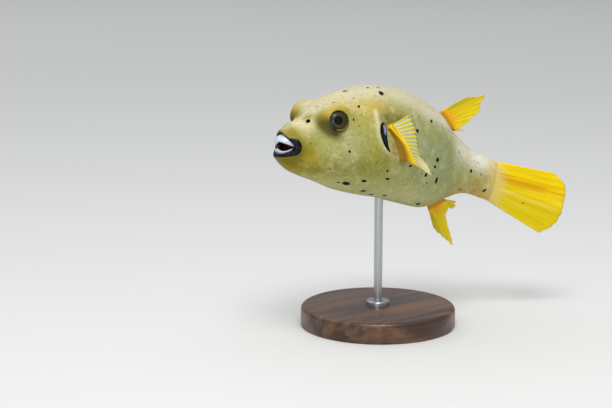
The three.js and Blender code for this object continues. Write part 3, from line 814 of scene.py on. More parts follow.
def flat_fin(name, base, fan, root_half, torn, columns=150, rows=56):
    """A fin of the middle plane: a thin closed blade that flares into its fleshy foot."""
    share, face = around_blade(columns)
    front, back = base
    reach_at, lean_at = fan_curves(fan, 0.015)
    reach, lean = reach_at(share), lean_at(share)
    made = []
    outs = np.linspace(-FIN_SUNK, 1, rows)
    for out in outs:
        ray = ray_pattern(share, FIN_RAYS, max(out, 0))
        tips = torn * (2 * ray - 1) * (0.3 + 0.7 * smoothstep((share - 0.4) / 0.2))
        tips = tips + 0.04 * np.sin(23 * share + 1)
        length = reach * out * (1 + max(out, 0) ** 4 * tips)
        flesh = np.exp(-np.maximum(length, 0) / FIN_FLESH)
        half = FIN_EDGE + (root_half - FIN_EDGE) * flesh + FIN_RELIEF * (ray - 0.5) * (1 - flesh)
        rim = round_off(np.minimum(share, 1 - share), 0.03)
        half = half * (0.25 + 0.75 * rim) * round_off(1 - out, 0.03)
        sway = 0.5 * np.sin(6 * share + 0.5) * max(out, 0) ** 2
        made.append(np.stack([
            lerp(front[0], back[0], share) + length * np.cos(lean),
            face * half + sway,
            lerp(front[1], back[1], share) + length * np.sin(lean)], -1))
    layers = {"fan": np.repeat(np.clip(outs, 0, 1)[:, None], columns, 1),
              "share": np.repeat(share[None], rows, 0)}
    return close_blade(np.stack(made), layers, name)


def make_pectoral(name, hand, columns=240, rows=72):
    """A pectoral fin: a thick leading part stands out of the body, and the thin fan folds back from it."""
    share, face = around_blade(columns)
    behind = lerp(PECTORAL_TOP[0], PECTORAL_BOTTOM[0], share)
    degrees = 180 - lerp(PECTORAL_TOP[1], PECTORAL_BOTTOM[1], share)
    foot = body_surface(behind, degrees)
    out = unit(np.cross(body_surface(behind + 1, degrees) - foot, body_surface(behind, degrees + 2) - foot))
    out *= np.sign(out[:, 1:2])
    fan = np.stack([
        even_curve(PECTORAL_BACK)(share),
        0.4 * even_curve(PECTORAL_OUT)(share),
        even_curve(PECTORAL_UP)(share)], -1)
    swell = 0.55 + 0.45 * np.sin(math.pi * np.clip(share, 0.02, 0.98))[:, None]
    lower = share[:, None] ** 2
    crest = foot + out * 5.6 * swell - (0.4, 0, 0) + lower * (11.0, 0, -2.0)
    tip = foot + out * 4.0 + fan
    knots = [
        foot - out * 2.5 - (0.4, 0, 0),
        foot + out * 1.0 - (0.2, 0, 0),
        foot + out * 3.6 * swell + (0.4, 0, 0),
        crest,
        lerp(crest, tip, 0.33) + out * 0.9 * (1 - lower),
        lerp(crest, tip, 0.66) + out * 0.8 * (1 - lower),
        tip]
    steps = np.linspace(0, 1, rows)
    middle = np.zeros((rows, columns, 3))
    for column in range(columns):
        for axis in range(3):
            curve = smooth_curve(PECTORAL_KNOTS, [knot[column, axis] for knot in knots], 0.035)
            middle[:, column, axis] = curve(steps)
    beyond = smoothstep((steps - 0.33) / 0.16)[:, None]
    ray = ray_pattern(share[None], PECTORAL_RAYS, beyond * 0.4)
    ragged = 1 + 0.05 * (2 * ray - 1) * smoothstep((steps[:, None] - 0.8) / 0.2)
    middle = crest[None] + (middle - crest[None]) * np.where(beyond > 0, ragged, 1)[..., None]
    half_way = columns // 2
    across = np.gradient(middle[:, :half_way + 1], axis=1)
    across = np.concatenate([across, across[:, half_way - 1:0:-1]], 1)
    normal = unit(np.cross(np.gradient(middle, axis=0), across))
    half = lerp(PECTORAL_FOOT, PECTORAL_EDGE, smoothstep((steps - 0.1) / 0.42))[:, None]
    half = half + PECTORAL_RELIEF * (ray - 0.4) * beyond
    rim = round_off(np.minimum(share, 1 - share), 0.04)[None]
    half = half * (0.5 + 0.5 * rim) * round_off(1 - steps, 0.03)[:, None]
    points = middle + normal * (face[None] * half)[..., None]
    points[..., 1] *= hand
    blank = np.zeros(points.shape[:2])
    layers = {"fan": beyond + blank, "share": share[None] + blank, "reach": steps[:, None] + blank}
    return close_blade(points, layers, name)


# ---- eyes and beak

def make_eye(name, hand):
    """An eyeball: a flattened ball whose pole looks along the line of sight."""
    bm = bmesh.new()
    bmesh.ops.create_uvsphere(bm, u_segments=96, v_segments=72, radius=1)
    turn = np.array((1, hand, 1))
    for v in bm.verts:
        back, up, out = v.co.x * EYE_RADIUS, v.co.y * EYE_RADIUS, v.co.z * EYE_HALF_DEPTH
        v.co = (EYE_CENTRE + EYE_BACK * back + EYE_UP * up + EYE_SIGHT * out) * turn
    return piece_from(bm, name)


def make_beak_plate(name, vertical, hand, columns=46, rows=16):
    """A quarter of the beak: a curved plate with a rounded cutting edge and a point in the middle."""
    turn = np.radians(np.linspace(*BEAK_TURN, columns))
    back = (turn / math.radians(BEAK_TURN[1])) ** 1.5
    if vertical > 0:
        low = lerp(1.7, -0.35, back) - 2.7 * np.exp(-(np.degrees(turn) / 9.5) ** 2)
    else:
        low = lerp(3.2, 0.9, back) + 1.5 * np.sin(math.pi * back ** 0.8)
        low -= 0.6 * np.exp(-((np.degrees(turn) - 10) / 7) ** 2)
    start = np.arcsin(low / BEAK_RADII[2])
    tilt = vertical * lerp(start, math.radians(BEAK_RISE), np.linspace(0, 1, rows)[:, None])
    points = BEAK_CENTRE + BEAK_RADII * np.stack([
        -np.cos(tilt) * np.cos(turn),
        hand * np.cos(tilt) * np.sin(turn),
        np.sin(tilt)], -1)
    bm, _ = grid_mesh(points, {}, closed=False)
    bmesh.ops.recalc_face_normals(bm, faces=bm.faces)
    bm.faces.ensure_lookup_table()
    middle = bm.faces[len(bm.faces) // 2]
    if middle.normal.dot(middle.calc_center_median() - Vector(BEAK_CENTRE)) < 0:
        bmesh.ops.reverse_faces(bm, faces=bm.faces)
    bmesh.ops.solidify(bm, geom=list(bm.faces), thickness=BEAK_THICKNESS)
    rim = [edge for edge in bm.edges if len(edge.link_faces) == 2 and edge.calc_face_angle(0) > 0.9]
    bmesh.ops.bevel(
        bm, geom=rim, offset=BEAK_ROUNDING, segments=3, profile=0.5, affect="EDGES", material=-1)
    return piece_from(bm, name)


# ---- the stand

def spun(name, profile, material, slot, node, segments=160):
    """A turned piece from its profile of radius and height, in millimetres."""
    bm = bmesh.new()
    line = [bm.verts.new((radius * MILLIMETRE, 0, height * MILLIMETRE)) for radius, height in profile]
    edges = [bm.edges.new(pair) for pair in zip(line, line[1:])]
    bmesh.ops.spin(bm, geom=line + edges, axis=(0, 0, 1), cent=(0, 0, 0), angle=2 * math.pi,
                   steps=segments, use_merge=True)
    bmesh.ops.remove_doubles(bm, verts=bm.verts, dist=AXIS_MERGE)
    piece = piece_from(bm, name)
    piece.data.set_sharp_from_angle(angle=math.radians(50))
    finish_piece(piece, material, slot, node)


def rounded(corner, radius, start, end, steps=6):
    """Points of a profile around a corner's centre, from one angle to another."""
    angles = [math.radians(lerp(start, end, step / steps)) for step in range(steps + 1)]
    return [(corner[0] + radius * math.cos(a), corner[1] + radius * math.sin(a)) for a in angles]


# ---- paint

def colour(red, green, blue):
    """A colour given as it looks on a screen, 0 to 255, as the shader wants it."""
    def linear(part):
        part = part / 255
        return part / 12.92 if part <= 0.04045 else ((part + 0.055) / 1.055) ** 2.4
    return linear(red), linear(green), linear(blue), 1.0


class Tone:
    """A number or a colour that varies over a surface. Arithmetic on it adds Math nodes to its paint."""

    def __init__(self, paint, socket):
        self.paint = paint
        self.socket = socket

    def __add__(self, other):
        return self.paint.math("ADD", self, other)

    def __sub__(self, other):
        return self.paint.math("SUBTRACT", self, other)

    def __rsub__(self, other):
        return self.paint.math("SUBTRACT", other, self)

    def __mul__(self, other):
        return self.paint.math("MULTIPLY", self, other)

    __radd__ = __add__
    __rmul__ = __mul__

    def between(self, low, high):
        """0 at low and 1 at high, with a smooth rise."""
        settings = {"interpolation_type": "SMOOTHSTEP"}
        return self.paint.node("MapRange", settings, {0: self, 1: low, 2: high})


class Paint:
    """A material and the nodes that paint it. Its colours are Tones, or red, green and blue from 0 to 255."""

    def __init__(self, name):
        self.material = bpy.data.materials.new(name)
        self.material.use_nodes = True
        self.tree = self.material.node_tree
        self.shader = self.tree.nodes["Principled BSDF"]

    def node(self, kind, settings, sockets, output=0):
        made = self.tree.nodes.new("ShaderNode" + kind)
        for name, value in settings.items():
            setattr(made, name, value)
        for name, value in sockets.items():
            self.feed(made.inputs[name], value)
        return Tone(self, made.outputs[output])

    def feed(self, socket, value):
        if isinstance(value, Tone):
            self.tree.links.new(value.socket, socket)
        elif socket.type == "RGBA":
            socket.default_value = colour(*value)
        else:
            socket.default_value = value

    def math(self, operation, *values):
        return self.node("Math", {"operation": operation}, dict(enumerate(values)))

    def mask(self, name):
        return self.node("Attribute", {"attribute_name": name}, {}, "Fac")

    def place(self, name="fish"):
        return self.node("Attribute", {"attribute_name": name}, {}, "Vector")

    def stretched(self, *stretch):
        """A place on a piece of the stand, drawn together along its grain."""
        place = self.node("TexCoord", {}, {}, "Object")
        return self.node("VectorMath", {"operation": "MULTIPLY"}, {0: place, 1: stretch})

    def join(self, x, y, z=0.0):
        return self.node("CombineXYZ", {}, {0: x, 1: y, 2: z})

    def part(self, place, axis):
        return self.node("SeparateXYZ", {}, {0: place}, axis)

    def length(self, place):
        return self.node("VectorMath", {"operation": "LENGTH"}, {0: place}, 1)

    def noise(self, place, scale=1.0, detail=2.0, roughness=0.5):
        sockets = {"Vector": place, "Scale": scale, "Detail": detail, "Roughness": roughness}
        return self.node("TexNoise", {}, sockets)

    def mix(self, under, over, share):
        return self.node("Mix", {"data_type": "RGBA"}, {0: share, 6: under, 7: over}, 2)

    def coats(self, tone, coats):
        """Lays colours over one another, each by its own share."""
        for over, share in coats:
            tone = self.mix(tone, over, share)
        return tone

    def relief(self, height, depth, strength):
        bump = self.node("Bump", {}, {"Height": height, "Distance": depth, "Strength": strength})
        self.feed(self.shader.inputs["Normal"], bump)

    def finish(self, tone, **sockets):
        self.feed(self.shader.inputs["Base Color"], tone)
        for name, value in sockets.items():
            self.feed(self.shader.inputs[name.replace("_", " ").title().replace("Ior", "IOR")], value)
        return self.material


YELLOW = (242, 208, 0)
GOLD = (222, 150, 8)
OLIVE_YELLOW = (168, 156, 14)
ORANGE_BROWN = (146, 104, 8)
PALE_ROOT = (230, 206, 116)
SPOT = (8, 12, 18)
OLIVE_GREY = (162, 162, 94)


def ray_tone(paint, rays):
    """1 along the middle of each fin ray and 0 between rays."""
    return 1 - paint.math("PINGPONG", paint.mask("share") * rays, 0.5) * 2


def fin_colour(paint, rays):
    """Yellow fin skin: streaks of gold and olive along the rays, and thin lines between them."""
    share, fan = paint.mask("share"), paint.mask("fan")
    streaks = paint.noise(paint.join(share * 5.0, fan * 0.45))
    fine = paint.noise(paint.join(share * 14, fan * 0.8, 4.0))
    return paint.coats(YELLOW, (
        (GOLD, streaks.between(0.50, 0.68) * 0.7),
        (OLIVE_YELLOW, streaks.between(0.46, 0.34) * 0.7),
        ((250, 226, 130), fine.between(0.55, 0.72) * 0.5),
        ((160, 132, 10), fine.between(0.45, 0.32) * 0.4),
        ((176, 140, 10), ray_tone(paint, rays).between(0.4, 0.0) * 0.25)))


# ---- spots

# Spots of the left side: behind, side, height, half length, half height, and tilt in degrees.
DARK_SPOTS = (
    (56.5, -13, 38.2, 1.7, 2.1, -20), (38.5, -16.8, 28.5, 0.8, 1.1, -25), (32.7, -20.8, 20.9, 0.5, 1, 0),
    (30.7, -24, 3, 0.8, 0.8, 0), (34, -14.7, -15.3, 1, 1, 0), (38, -16.6, -15.3, 2.6, 2, 0),
    (46.3, -21.9, -12.4, 1.9, 1.1, 0), (52.8, -14.9, -18.5, 1.8, 1.8, 0),
    (57.9, -27.1, -4.9, 0.9, 0.7, 0), (60.2, -25.6, -9.4, 1.6, 0.8, 0), (70.4, -13.8, -19.7, 1.5, 1.6, 0),
    (61.4, -12.2, -20.1, 1.5, 1.6, 0), (100.9, -11, -22.5, 1.8, 1.9, 0), (78.3, -24.4, 20.1, 1.2, 1.3, 0),
    (92.5, -19.9, 26.8, 1.2, 1.2, 0), (74.9, -26.9, -0.4, 1.2, 0.7, 20), (83.2, -26.1, 4.9, 0.9, 0.9, 0),
    (100, -23.1, 5.3, 1.8, 1.6, 0), (98.3, -23.6, 1, 1.6, 0.9, 0), (90.3, -24.9, -4.4, 1.5, 1.3, 20),
    (103.4, -21.8, -6.8, 1.8, 2.1, 14), (136.9, -9.8, 2.8, 0.9, 1.4, 0),
    (150.5, -5.4, -6.8, 1.6, 0.8, 40), (39, -2, 36.3, 1.8, 1.1, 0), (52, -5.9, 40.2, 1.1, 0.9, 0),
)

FAINT_SPOTS = (
    (58.5, -7.3, 41.2, 1.5, 1.4, 0), (36.1, -22, 17.8, 0.7, 0.5, 0), (34.2, -21.2, 19.1, 0.5, 0.4, 0),
    (29.5, -23.2, 6.8, 0.5, 0.4, 0), (32.3, -23.9, 6.3, 0.6, 0.5, 0), (12.2, -11.8, 4.2, 0.6, 0.6, 0),
    (23, -18.8, -8.2, 0.7, 0.8, 0), (23.8, -20.9, -4.5, 0.5, 0.4, 0), (86.1, -25.6, -3.8, 0.9, 0.7, 0),
    (94, -23.3, -9, 1.2, 0.8, 0), (97.8, -23.7, -2.7, 1.1, 0.7, 0), (124.3, -12.3, 12.4, 0.8, 1, 0),
    (145, -7.6, 2.2, 1, 0.7, 0), (141.2, -7.3, 8.6, 0.8, 0.7, 0), (132.7, -8.4, -9.5, 1.1, 1.2, 0),
    (38.2, -11.6, 32.9, 0.9, 0.6, 0), (25.9, -9.3, 28.6, 1.2, 1.3, 0), (19.7, -2.9, 25.3, 0.8, 0.7, 0),
    (74.7, -21.7, 27.9, 0.8, 0.6, 0), (80.4, -21.2, 28, 0.9, 0.6, 0), (49.6, -26.3, -1.1, 0.5, 0.6, 0),
    (53.3, -26.8, -1.5, 0.5, 0.4, 0), (41.8, -19.9, 25.7, 0.5, 0.5, 0), (8.9, -9.9, -5.9, 0.6, 0.5, 0),
    (70.2, -20.5, -15.6, 0.7, 0.6, 0), (178.5, -0.9, -8.9, 0.9, 0.7, 0),
    (36.2, -18.4, 26, 0.5, 0.4, 0), (38.4, -20, 24, 0.4, 0.5, 0), (40.6, -19.4, 25.8, 0.4, 0.4, 0),
)


SPOT_GAP = 5.5


def scattered_spots(seed, count, behinds, degrees, largest):
    """Spots over a part of the body, no two close together."""
    chance = random.Random(seed)
    spots = []
    while len(spots) < count:
        behind = chance.uniform(*behinds)
        angle = chance.uniform(*degrees)
        place = body_surface(np.array([behind]), np.array([angle]))[0]
        if all(np.linalg.norm(place - spot[:3]) > SPOT_GAP for spot in spots):
            small, large = sorted((chance.uniform(0.5, largest), chance.uniform(0.5, largest)))
            half = (small, large) if behind > 70 else (large, small)
            spots.append((*place, *half, chance.uniform(-25, 25)))
    return spots


def spot_fields(points, normals, spots, count):
    """Each point's place in the oval of its spot, 1 at the spot's edge, shared over a few fields.

    Spots that come close to each other are kept in different fields, so that none disturbs another.
    """
    fields = [np.full(points.shape, 9.0) for _ in range(count)]
    for x, y, z, long, tall, tilt in spots:
        largest = max(long, tall)
        near = np.flatnonzero(((points - (x, y, z)) ** 2).sum(-1) < (4 * largest + 2) ** 2)
        if len(near) == 0:
            continue
        away = points[near] - (x, y, z)
        out = normals[near[(away ** 2).sum(-1).argmin()]]
        along = unit(np.array((1.0, 0, 0)) - out * out[0])
        up = np.cross(along, out)
        if up[2] < 0:
            up = -up
        back, rise, turn = away @ along, away @ up, math.radians(tilt)
        place = np.stack([
            (back * math.cos(turn) + rise * math.sin(turn)) / long,
            (rise * math.cos(turn) - back * math.sin(turn)) / tall,
            away @ out / largest], -1)
        claimed = np.linalg.norm(place, axis=-1) < 3
        free = next((field for field in fields if (field[near[claimed]] > 8).all()), None)
        if free is not None:
            free[near[claimed]] = place[claimed]
    return fields


# ---- tints

# Soft tints of the skin, laid on in this order: a colour, and blots of it. A blot is a centre behind, side
# and height, its radii, and its strength. Each is on both sides of the fish. The pale back, partly painted
# top light, has its own mask.
TINTS = {
    "rear_flank": ((148, 157, 112), (
        ((104, 22, 6), (26, 22, 19), 1.0), ((84, 26, 14), (12, 12, 12), 0.8),
        ((74, 27, 21), (9, 9, 7), 0.7))),
    "gill_fold": ((126, 120, 46), (
        ((54, 27, 0), (6, 6, 6.5), 0.75), ((48, 26, 5), (5, 5, 4), 0.45))),
    "lower_cheek": ((134, 131, 54), (
        ((44, 25, -4), (16, 10, 7), 0.85), ((25, 19, -7), (11, 10, 6.5), 0.75),
        ((53, 26, 1), (6, 8, 6), 0.7))),
    "belly": ((184, 178, 112), (
        ((34, 8, -17), (16, 12, 5), 0.8),)),
    "rear_belly": ((188, 188, 134), (
        ((82, 16, -20), (34, 15, 9), 0.9),)),
    "pale_side": ((178, 182, 140), (
        ((92, 25, -2), (6, 8, 6), 0.8), ((80, 26, 7), (6, 6, 8), 0.7), ((30, 23, 7), (5, 6, 6), 0.4))),
    # the pale back: partly the fish's own colour and partly painted top light, by a mask that grows where the
    # skin faces up
    "back": ((202, 195, 160), ()),
    "saddle": ((220, 220, 206), (
        ((107, 12, 29), (9, 7, 4.5), 0.85), ((93, 14, 31), (10, 7, 5), 0.5))),
    "crown": ((198, 175, 84), (
        ((43, 19, 30), (17, 7, 6), 1.0), ((28, 14, 29), (8, 7, 5), 0.7), ((47, 22, 22), (5, 6, 5), 0.4))),
    "olive_cheek": ((172, 162, 66), (
        ((40, 22, 20), (7, 6, 6), 0.7), ((47, 26, 8), (6, 6, 9), 0.6), ((17, 10, 19), (5, 4, 4), 0.7))),
    "gill_shade": ((116, 106, 40), (
        ((56, 23, 24.5), (5, 6, 5.5), 1.0), ((63, 23, 25.5), (7, 6, 4), 0.7),
        ((69, 24, 21), (5, 5, 4), 0.4))),
    "stalk_top": ((228, 226, 212), (
        ((142, 5, 10.5), (12, 9, 6.5), 1.0), ((128, 10, 14), (8, 7, 7), 0.7))),
    "stalk_foot": ((184, 150, 80), (
        ((143, 6, -6), (9, 8, 5), 0.8), ((131, 8, -11), (9, 7, 4), 0.8))),
    "tail_root": ((216, 190, 108), (
        ((155, 0, 2), (5.5, 12, 15), 1.0),)),
    "stalk_edge": ((232, 172, 48), (
        ((148, 0, -14), (10, 7, 4), 0.9),)),
    "fin_foot": ((228, 160, 40), (
        ((119.5, 1.5, 32), (7, 2.6, 6.5), 0.9), ((123, 1.5, -22.5), (6, 2.6, 5), 0.9),
        ((128, 0, 23), (6, 4.5, 4.5), 0.85))),
    "muzzle": ((162, 145, 10), (
        ((5, 9, 1), (7, 9, 9), 1.0), ((3, 5, 9), (5, 6, 4), 0.9),
        ((12, 12.5, -3), (6.5, 6, 7.5), 0.92))),
    "chin": ((124, 112, 0), (
        ((6, 6, -9), (9, 10, 6.5), 1.0), ((16, 12, -9), (7, 7, 5), 0.7),
        ((11.5, 12, -0.5), (4.5, 5, 5.5), 0.6))),
    "mouth_edge": ((104, 98, 10), (
        ((6.5, 10, -2.5), (2.8, 3.2, 4), 0.8), ((3, 5.5, -7.6), (4, 6, 2.6), 0.7))),
    "chin_edge": ((176, 130, 30), (
        ((8, 0, -13), (10, 11, 3.5), 0.42), ((22, 0, -18), (9, 9, 3), 0.3))),
    # painted highlight: a pale streak along the ridge of the nose, where the light catches it
    "nose_ridge_highlight": ((220, 206, 160), (
        ((9, 4, 13.5), (4, 3, 2.6), 1.0), ((13, 7, 15), (4.5, 3.2, 3), 1.0))),
    # painted shade on the side of the nose and just before the eye
    "nose_side_shade": ((150, 138, 44), (
        ((17, 12, 19.5), (3.6, 3.6, 3.4), 0.8), ((13.5, 4, 18.2), (3.4, 3, 2.6), 0.85))),
    # painted shade: orange-brown around the lower foot of the pectoral fin
    "root": ((138, 102, 8), (
        ((60.6, 28, 10), (2.4, 4, 4.5), 0.9), ((62.6, 28, 5), (2.8, 4, 3.5), 0.8),
        ((66, 28, 2), (3, 4, 2), 0.7))),
}

# Where the pale back starts and where it is full, as shares of the body's height, at places behind the lips.
PALE_AT = (0, 60, 75, 90, 110, 128)
PALE_FROM = (0.6, 0.68, 0.64, 0.56, 0.54, 0.12)
PALE_FULL = (0.9, 0.92, 0.88, 0.76, 0.82, 0.62)


def tint_mask(right, blots):
    """How strong a tint is: its strongest blot at each point."""
    mask = np.zeros(len(right))
    for centre, radii, strength in blots:
        mask = np.maximum(mask, strength * soft_blot(right, centre, radii))
    return mask


def pale_back_and_top_light_mask(right, normals):
    """The pale back, from where the body turns upwards, with the top of the snout. It is partly the fish's
    own pale back and partly painted top light, stronger where the skin faces up.
    """
    upward = smoothstep((normals[:, 2] - 0.12) / 0.62)
    level = right[:, 2] / height_up(right[:, 0])
    start = np.interp(right[:, 0], PALE_AT, PALE_FROM)
    full = np.interp(right[:, 0], PALE_AT, PALE_FULL)
    high = smoothstep((level - start) / (full - start))
    snout = smoothstep((30 - right[:, 0]) / 15)
    return np.maximum(high * (0.4 + 0.6 * upward), 0.85 * snout * upward)


def gill_rim_mask(right):
    """The pale rim along the front of a gill opening, fading downwards."""
    away = np.full(len(right), 9.0)
    near = np.flatnonzero((np.abs(right[:, 0] - 52) < 16) & (right[:, 1] > 12))
    away[near] = np.linalg.norm(right[near][:, None] - line_on_body(GILL_RIM)[None], axis=-1).min(1)
    return np.exp(-(away / 1.5) ** 2) * smoothstep((right[:, 2] + 6) / 22)


def eye_masks(points):
    """The yellow lid over an eye, its brighter edge, the hollow below and before it, darkened partly by its
    own olive pigment and partly by painted shade, and the dark rim of painted shade next to the eyeball.
    """
    back, up, out = eye_place(points)
    away = np.hypot(back, up)
    near = (np.abs(out) < 9) * (away < 16)
    turn = np.arctan2(up, back)
    over = smoothstep((np.sin(turn - math.radians(30)) + 0.2) / 0.7)
    under = smoothstep((np.cos(turn - math.radians(226)) - 0.2) / 0.7)
    return {
        "lid": near * over * smoothstep((10.5 - away) / 3.6),
        "lid_edge": near * over * np.exp(-((away - 6.3) / 0.45) ** 2),
        # partly olive pigment and partly painted shade
        "hollow": near * under * smoothstep((13.2 - away) / 5.0),
        # painted shade next to the eyeball, weaker under the lid's top
        "socket": near * smoothstep((6.9 - away) / 0.9) * (1 - 0.6 * over)}


# ---- materials

def paint_skin():
    paint = Paint("puffer_skin")
    place = paint.place()
    blotches = paint.noise(place, 0.16, 3.0)
    mottle = paint.noise(place, 0.55, 4.0, 0.6)
    grain = paint.noise(place, 1.9, 3.0, 0.6)
    share, fan, throat, pit = (paint.mask(name) for name in ("share", "fan", "throat", "pit"))
    calm = 1 - paint.math("MAXIMUM", paint.mask("muzzle"), paint.mask("chin")) * 0.75
    tone = paint.coats(OLIVE_GREY, [(tint, paint.mask(name)) for name, (tint, _) in TINTS.items()])
    tone = paint.coats(tone, (
        ((222, 210, 160), blotches.between(0.5, 0.72) * calm * 0.3),
        ((112, 108, 44), mottle.between(0.5, 0.33) * 0.3),
        ((214, 208, 160), mottle.between(0.52, 0.7) * calm * 0.2),
        ((96, 92, 44), grain.between(0.46, 0.3) * 0.17),
        ((116, 104, 6), paint.mask("lip_shade") * 0.65),
        ((184, 158, 10), paint.mask("lid") * 0.9),
        ((226, 204, 110), paint.mask("lid_edge") * 0.6),
        # the hollow around the eye: partly olive pigment and partly painted shade
        ((74, 66, 4), paint.mask("hollow") * 0.9),
        # the socket: a ring of painted shade next to the eyeball
        ((26, 26, 14), paint.mask("socket") * 0.9),
        ((228, 220, 182), paint.mask("rim") * 0.75)))

    streaks = paint.noise(paint.join(share * 9, fan * 0.5, 9.0))
    pale = share.between(0.42, 0.5) * streaks.between(0.5, 0.6) * fan.between(0.8, 0.3)
    ember = share.between(0.3, 0.37) * share.between(0.47, 0.40) * fan.between(0.9, 0.6)
    fin = paint.coats(fin_colour(paint, CAUDAL_RAYS), (
        ((250, 214, 10), share.between(0.28, 0.1) * 0.6),
        ((202, 188, 8), share.between(0.45, 0.75) * 0.5),
        ((238, 220, 138), pale * 0.7),
        ((214, 146, 0), ember * 0.75)))
    start = fan + (streaks - 0.5) * 0.5 * fan.between(0.0, 0.1)
    start = start + share.between(0.3, 0.08) * fan.between(0.0, 0.02) * 0.06
    tone = paint.coats(tone, ((PALE_ROOT, fan.between(0.0, 0.04) * 0.85), (fin, start.between(0.02, 0.24))))

    wander = (paint.noise(place, 1.1) - 0.5) * 0.7
    for name, depth in (("spot_faint", 0.5), ("spot_1", 1.0), ("spot_2", 1.0)):
        reach = paint.length(paint.place(name)) + wander
        tone = paint.mix(tone, SPOT, reach.between(1.15, 0.72) * depth)

    lip = (paint.mask("lip") + (mottle - 0.5) * 0.5).between(0.35, 0.65)
    # the lips: near black, mottled with purple-grey that is partly their own colour and partly a painted
    # sheen
    black = paint.mix((14, 15, 22), (84, 80, 98), mottle.between(0.48, 0.7) * 0.6)
    # Painted shade inside the gill openings and nostrils, and a pale painted highlight at the top of each
    # gill's rear wall.
    pocket = paint.mix((22, 17, 32), (142, 146, 168), pit.between(1.2, 1.95))
    tone = paint.coats(tone, ((black, lip), ((84, 36, 26), throat), (pocket, pit.between(0.3, 0.7))))
    prickle = paint.node("TexVoronoi", {"feature": "SMOOTH_F1"}, {"Vector": place, "Scale": 0.75})
    bumps = (1 - prickle.between(0.0, 0.6)) * 0.5 + grain * 0.6 + mottle * 0.5
    paint.relief(bumps * (1 - fan.between(0.0, 0.1)) * (1 - lip * 0.6), 0.00022, 0.7)
    wet = paint.math("MAXIMUM", throat, lip * 0.8)
    return paint.finish(
        tone, roughness=0.62 - wet * 0.3 - fan.between(0, 0.1) * 0.12, specular_ior_level=0.14)


def paint_fin():
    paint = Paint("fin_skin")
    share, fan, ray = paint.mask("share"), paint.mask("fan"), ray_tone(paint, FIN_RAYS)
    tone = paint.coats((236, 170, 20), (
        (fin_colour(paint, FIN_RAYS), fan.between(0.06, 0.34)),
        ((206, 196, 6), fan.between(0.2, 0.6) * 0.4),
        # painted shade: darker olive-yellow over the front rays, leaving the trailing rays brighter
        (OLIVE_YELLOW, share.between(0.36, 0.06) * fan.between(0.1, 0.5) * 0.55),
        (ORANGE_BROWN, fan.between(0.10, 0.0) * 0.5)))
    thin = ray.between(0.5, 0.0) * fan.between(0.72, 1.0)
    paint.relief(ray, 0.0002, 0.3)
    return paint.finish(tone, alpha=1 - thin * 0.45, roughness=0.5, specular_ior_level=0.25)


def paint_pectoral():
    paint = Paint("pectoral_skin")
    reach, share, fan = paint.mask("reach"), paint.mask("share"), paint.mask("fan")
    ray = ray_tone(paint, PECTORAL_RAYS)
    from_foot = reach - share.between(0.0, 0.6) * 0.19 + share.between(0.12, 0.0) * 0.12
    web = paint.mix((212, 210, 176), (228, 214, 30), ray.between(0.3, 0.85))
    tone = paint.coats((150, 120, 30), (
        # painted shade: orange-brown over the front face of the fleshy base, from its foot to the crest
        (ORANGE_BROWN, from_foot.between(0.0, 0.06)),
        ((255, 212, 0), from_foot.between(0.07, 0.17)),
        (web, fan.between(0.1, 0.5)),
        ((236, 226, 162), share.between(0.74, 0.86) * reach.between(0.45, 0.75) * 0.9)))
    clear = (1 - ray.between(0.3, 0.8)) * fan.between(0.2, 0.6) * share.between(0.88, 0.76)
    paint.relief(ray * fan, 0.0003, 0.6)
    return paint.finish(tone, alpha=1 - clear * 0.35, roughness=0.45, specular_ior_level=0.2)


def paint_eye():
    """An eyeball: a dark pupil that looks a little forward, an olive iris, a darker outer band, and a painted
    blue reflection at its front edge.
    """
    paint = Paint("eyeball")
    gaze = paint.place("gaze")
    across, height = paint.part(gaze, 0), paint.part(gaze, 1)
    away = paint.length(paint.join(across, height))
    pupil = paint.length(paint.join(across + 1.3, height + 0.1))
    threads = paint.noise(gaze, 1.6, 4.0, 0.7)
    arc = away.between(4.8, 5.2) * away.between(5.9, 5.5)
    # a painted reflection of blue on the cornea's front edge
    blue_reflection = away.between(4.9, 5.5) * away.between(6.4, 5.9) * (0 - across).between(3.0, 4.8)
    tone = paint.coats((44, 42, 14), (
        ((76, 66, 22), threads.between(0.42, 0.66) * 0.7),
        ((46, 44, 36), away.between(3.4, 4.2) * threads.between(0.62, 0.44) * 0.8),
        ((16, 15, 8), away.between(4.4, 5.0) * 0.9),
        ((176, 150, 34), arc * (across * 0.6 - height).between(3.6, 5.4) * 0.8),
        ((52, 74, 84), blue_reflection * 0.7),
        ((112, 90, 26), pupil.between(3.6, 2.9) * 0.35),
        ((3, 10, 9), pupil.between(3.0, 2.4))))
    return paint.finish(tone, roughness=0.4, specular_ior_level=0.1, coat_weight=0.25, coat_roughness=0.04)


def paint_beak():
    paint = Paint("beak_plate")
    place = paint.place()
    height, side = paint.part(place, 2), paint.part(place, 1)
    from_bite = paint.math("ABSOLUTE", height - MOUTH_HEIGHT)
    grain = paint.noise(paint.join(side * 2.2, height * 0.25), 1.0, 3.0)
    tone = paint.coats((206, 218, 232), (
        ((154, 178, 206), grain.between(0.42, 0.66) * 0.7),
        ((178, 192, 204), from_bite.between(4.2, 6.4) * 0.8),
        ((196, 178, 150), from_bite.between(2.3, 1.5) * 0.35),
        ((96, 50, 34), paint.mask("inner"))))
    paint.relief(grain, 0.0001, 0.5)
    return paint.finish(tone, roughness=0.3, specular_ior_level=0.5, coat_weight=0.4, coat_roughness=0.15)


def paint_wood():
    paint = Paint("stand_wood")
    grain = paint.stretched(14, 120, 120)
    bands = paint.noise(grain, 1.0, 4.0, 0.55)
    pores = paint.noise(grain, 6.0, 3.0, 0.6)
    tone = paint.coats((58, 36, 24), (
        ((112, 76, 50), bands.between(0.35, 0.66)),
        ((34, 22, 16), pores.between(0.42, 0.3) * 0.6)))
    paint.relief(pores, 0.00006, 0.4)
    return paint.finish(
        tone, roughness=0.38 + bands * 0.12, specular_ior_level=0.4, coat_weight=0.3, coat_roughness=0.2)


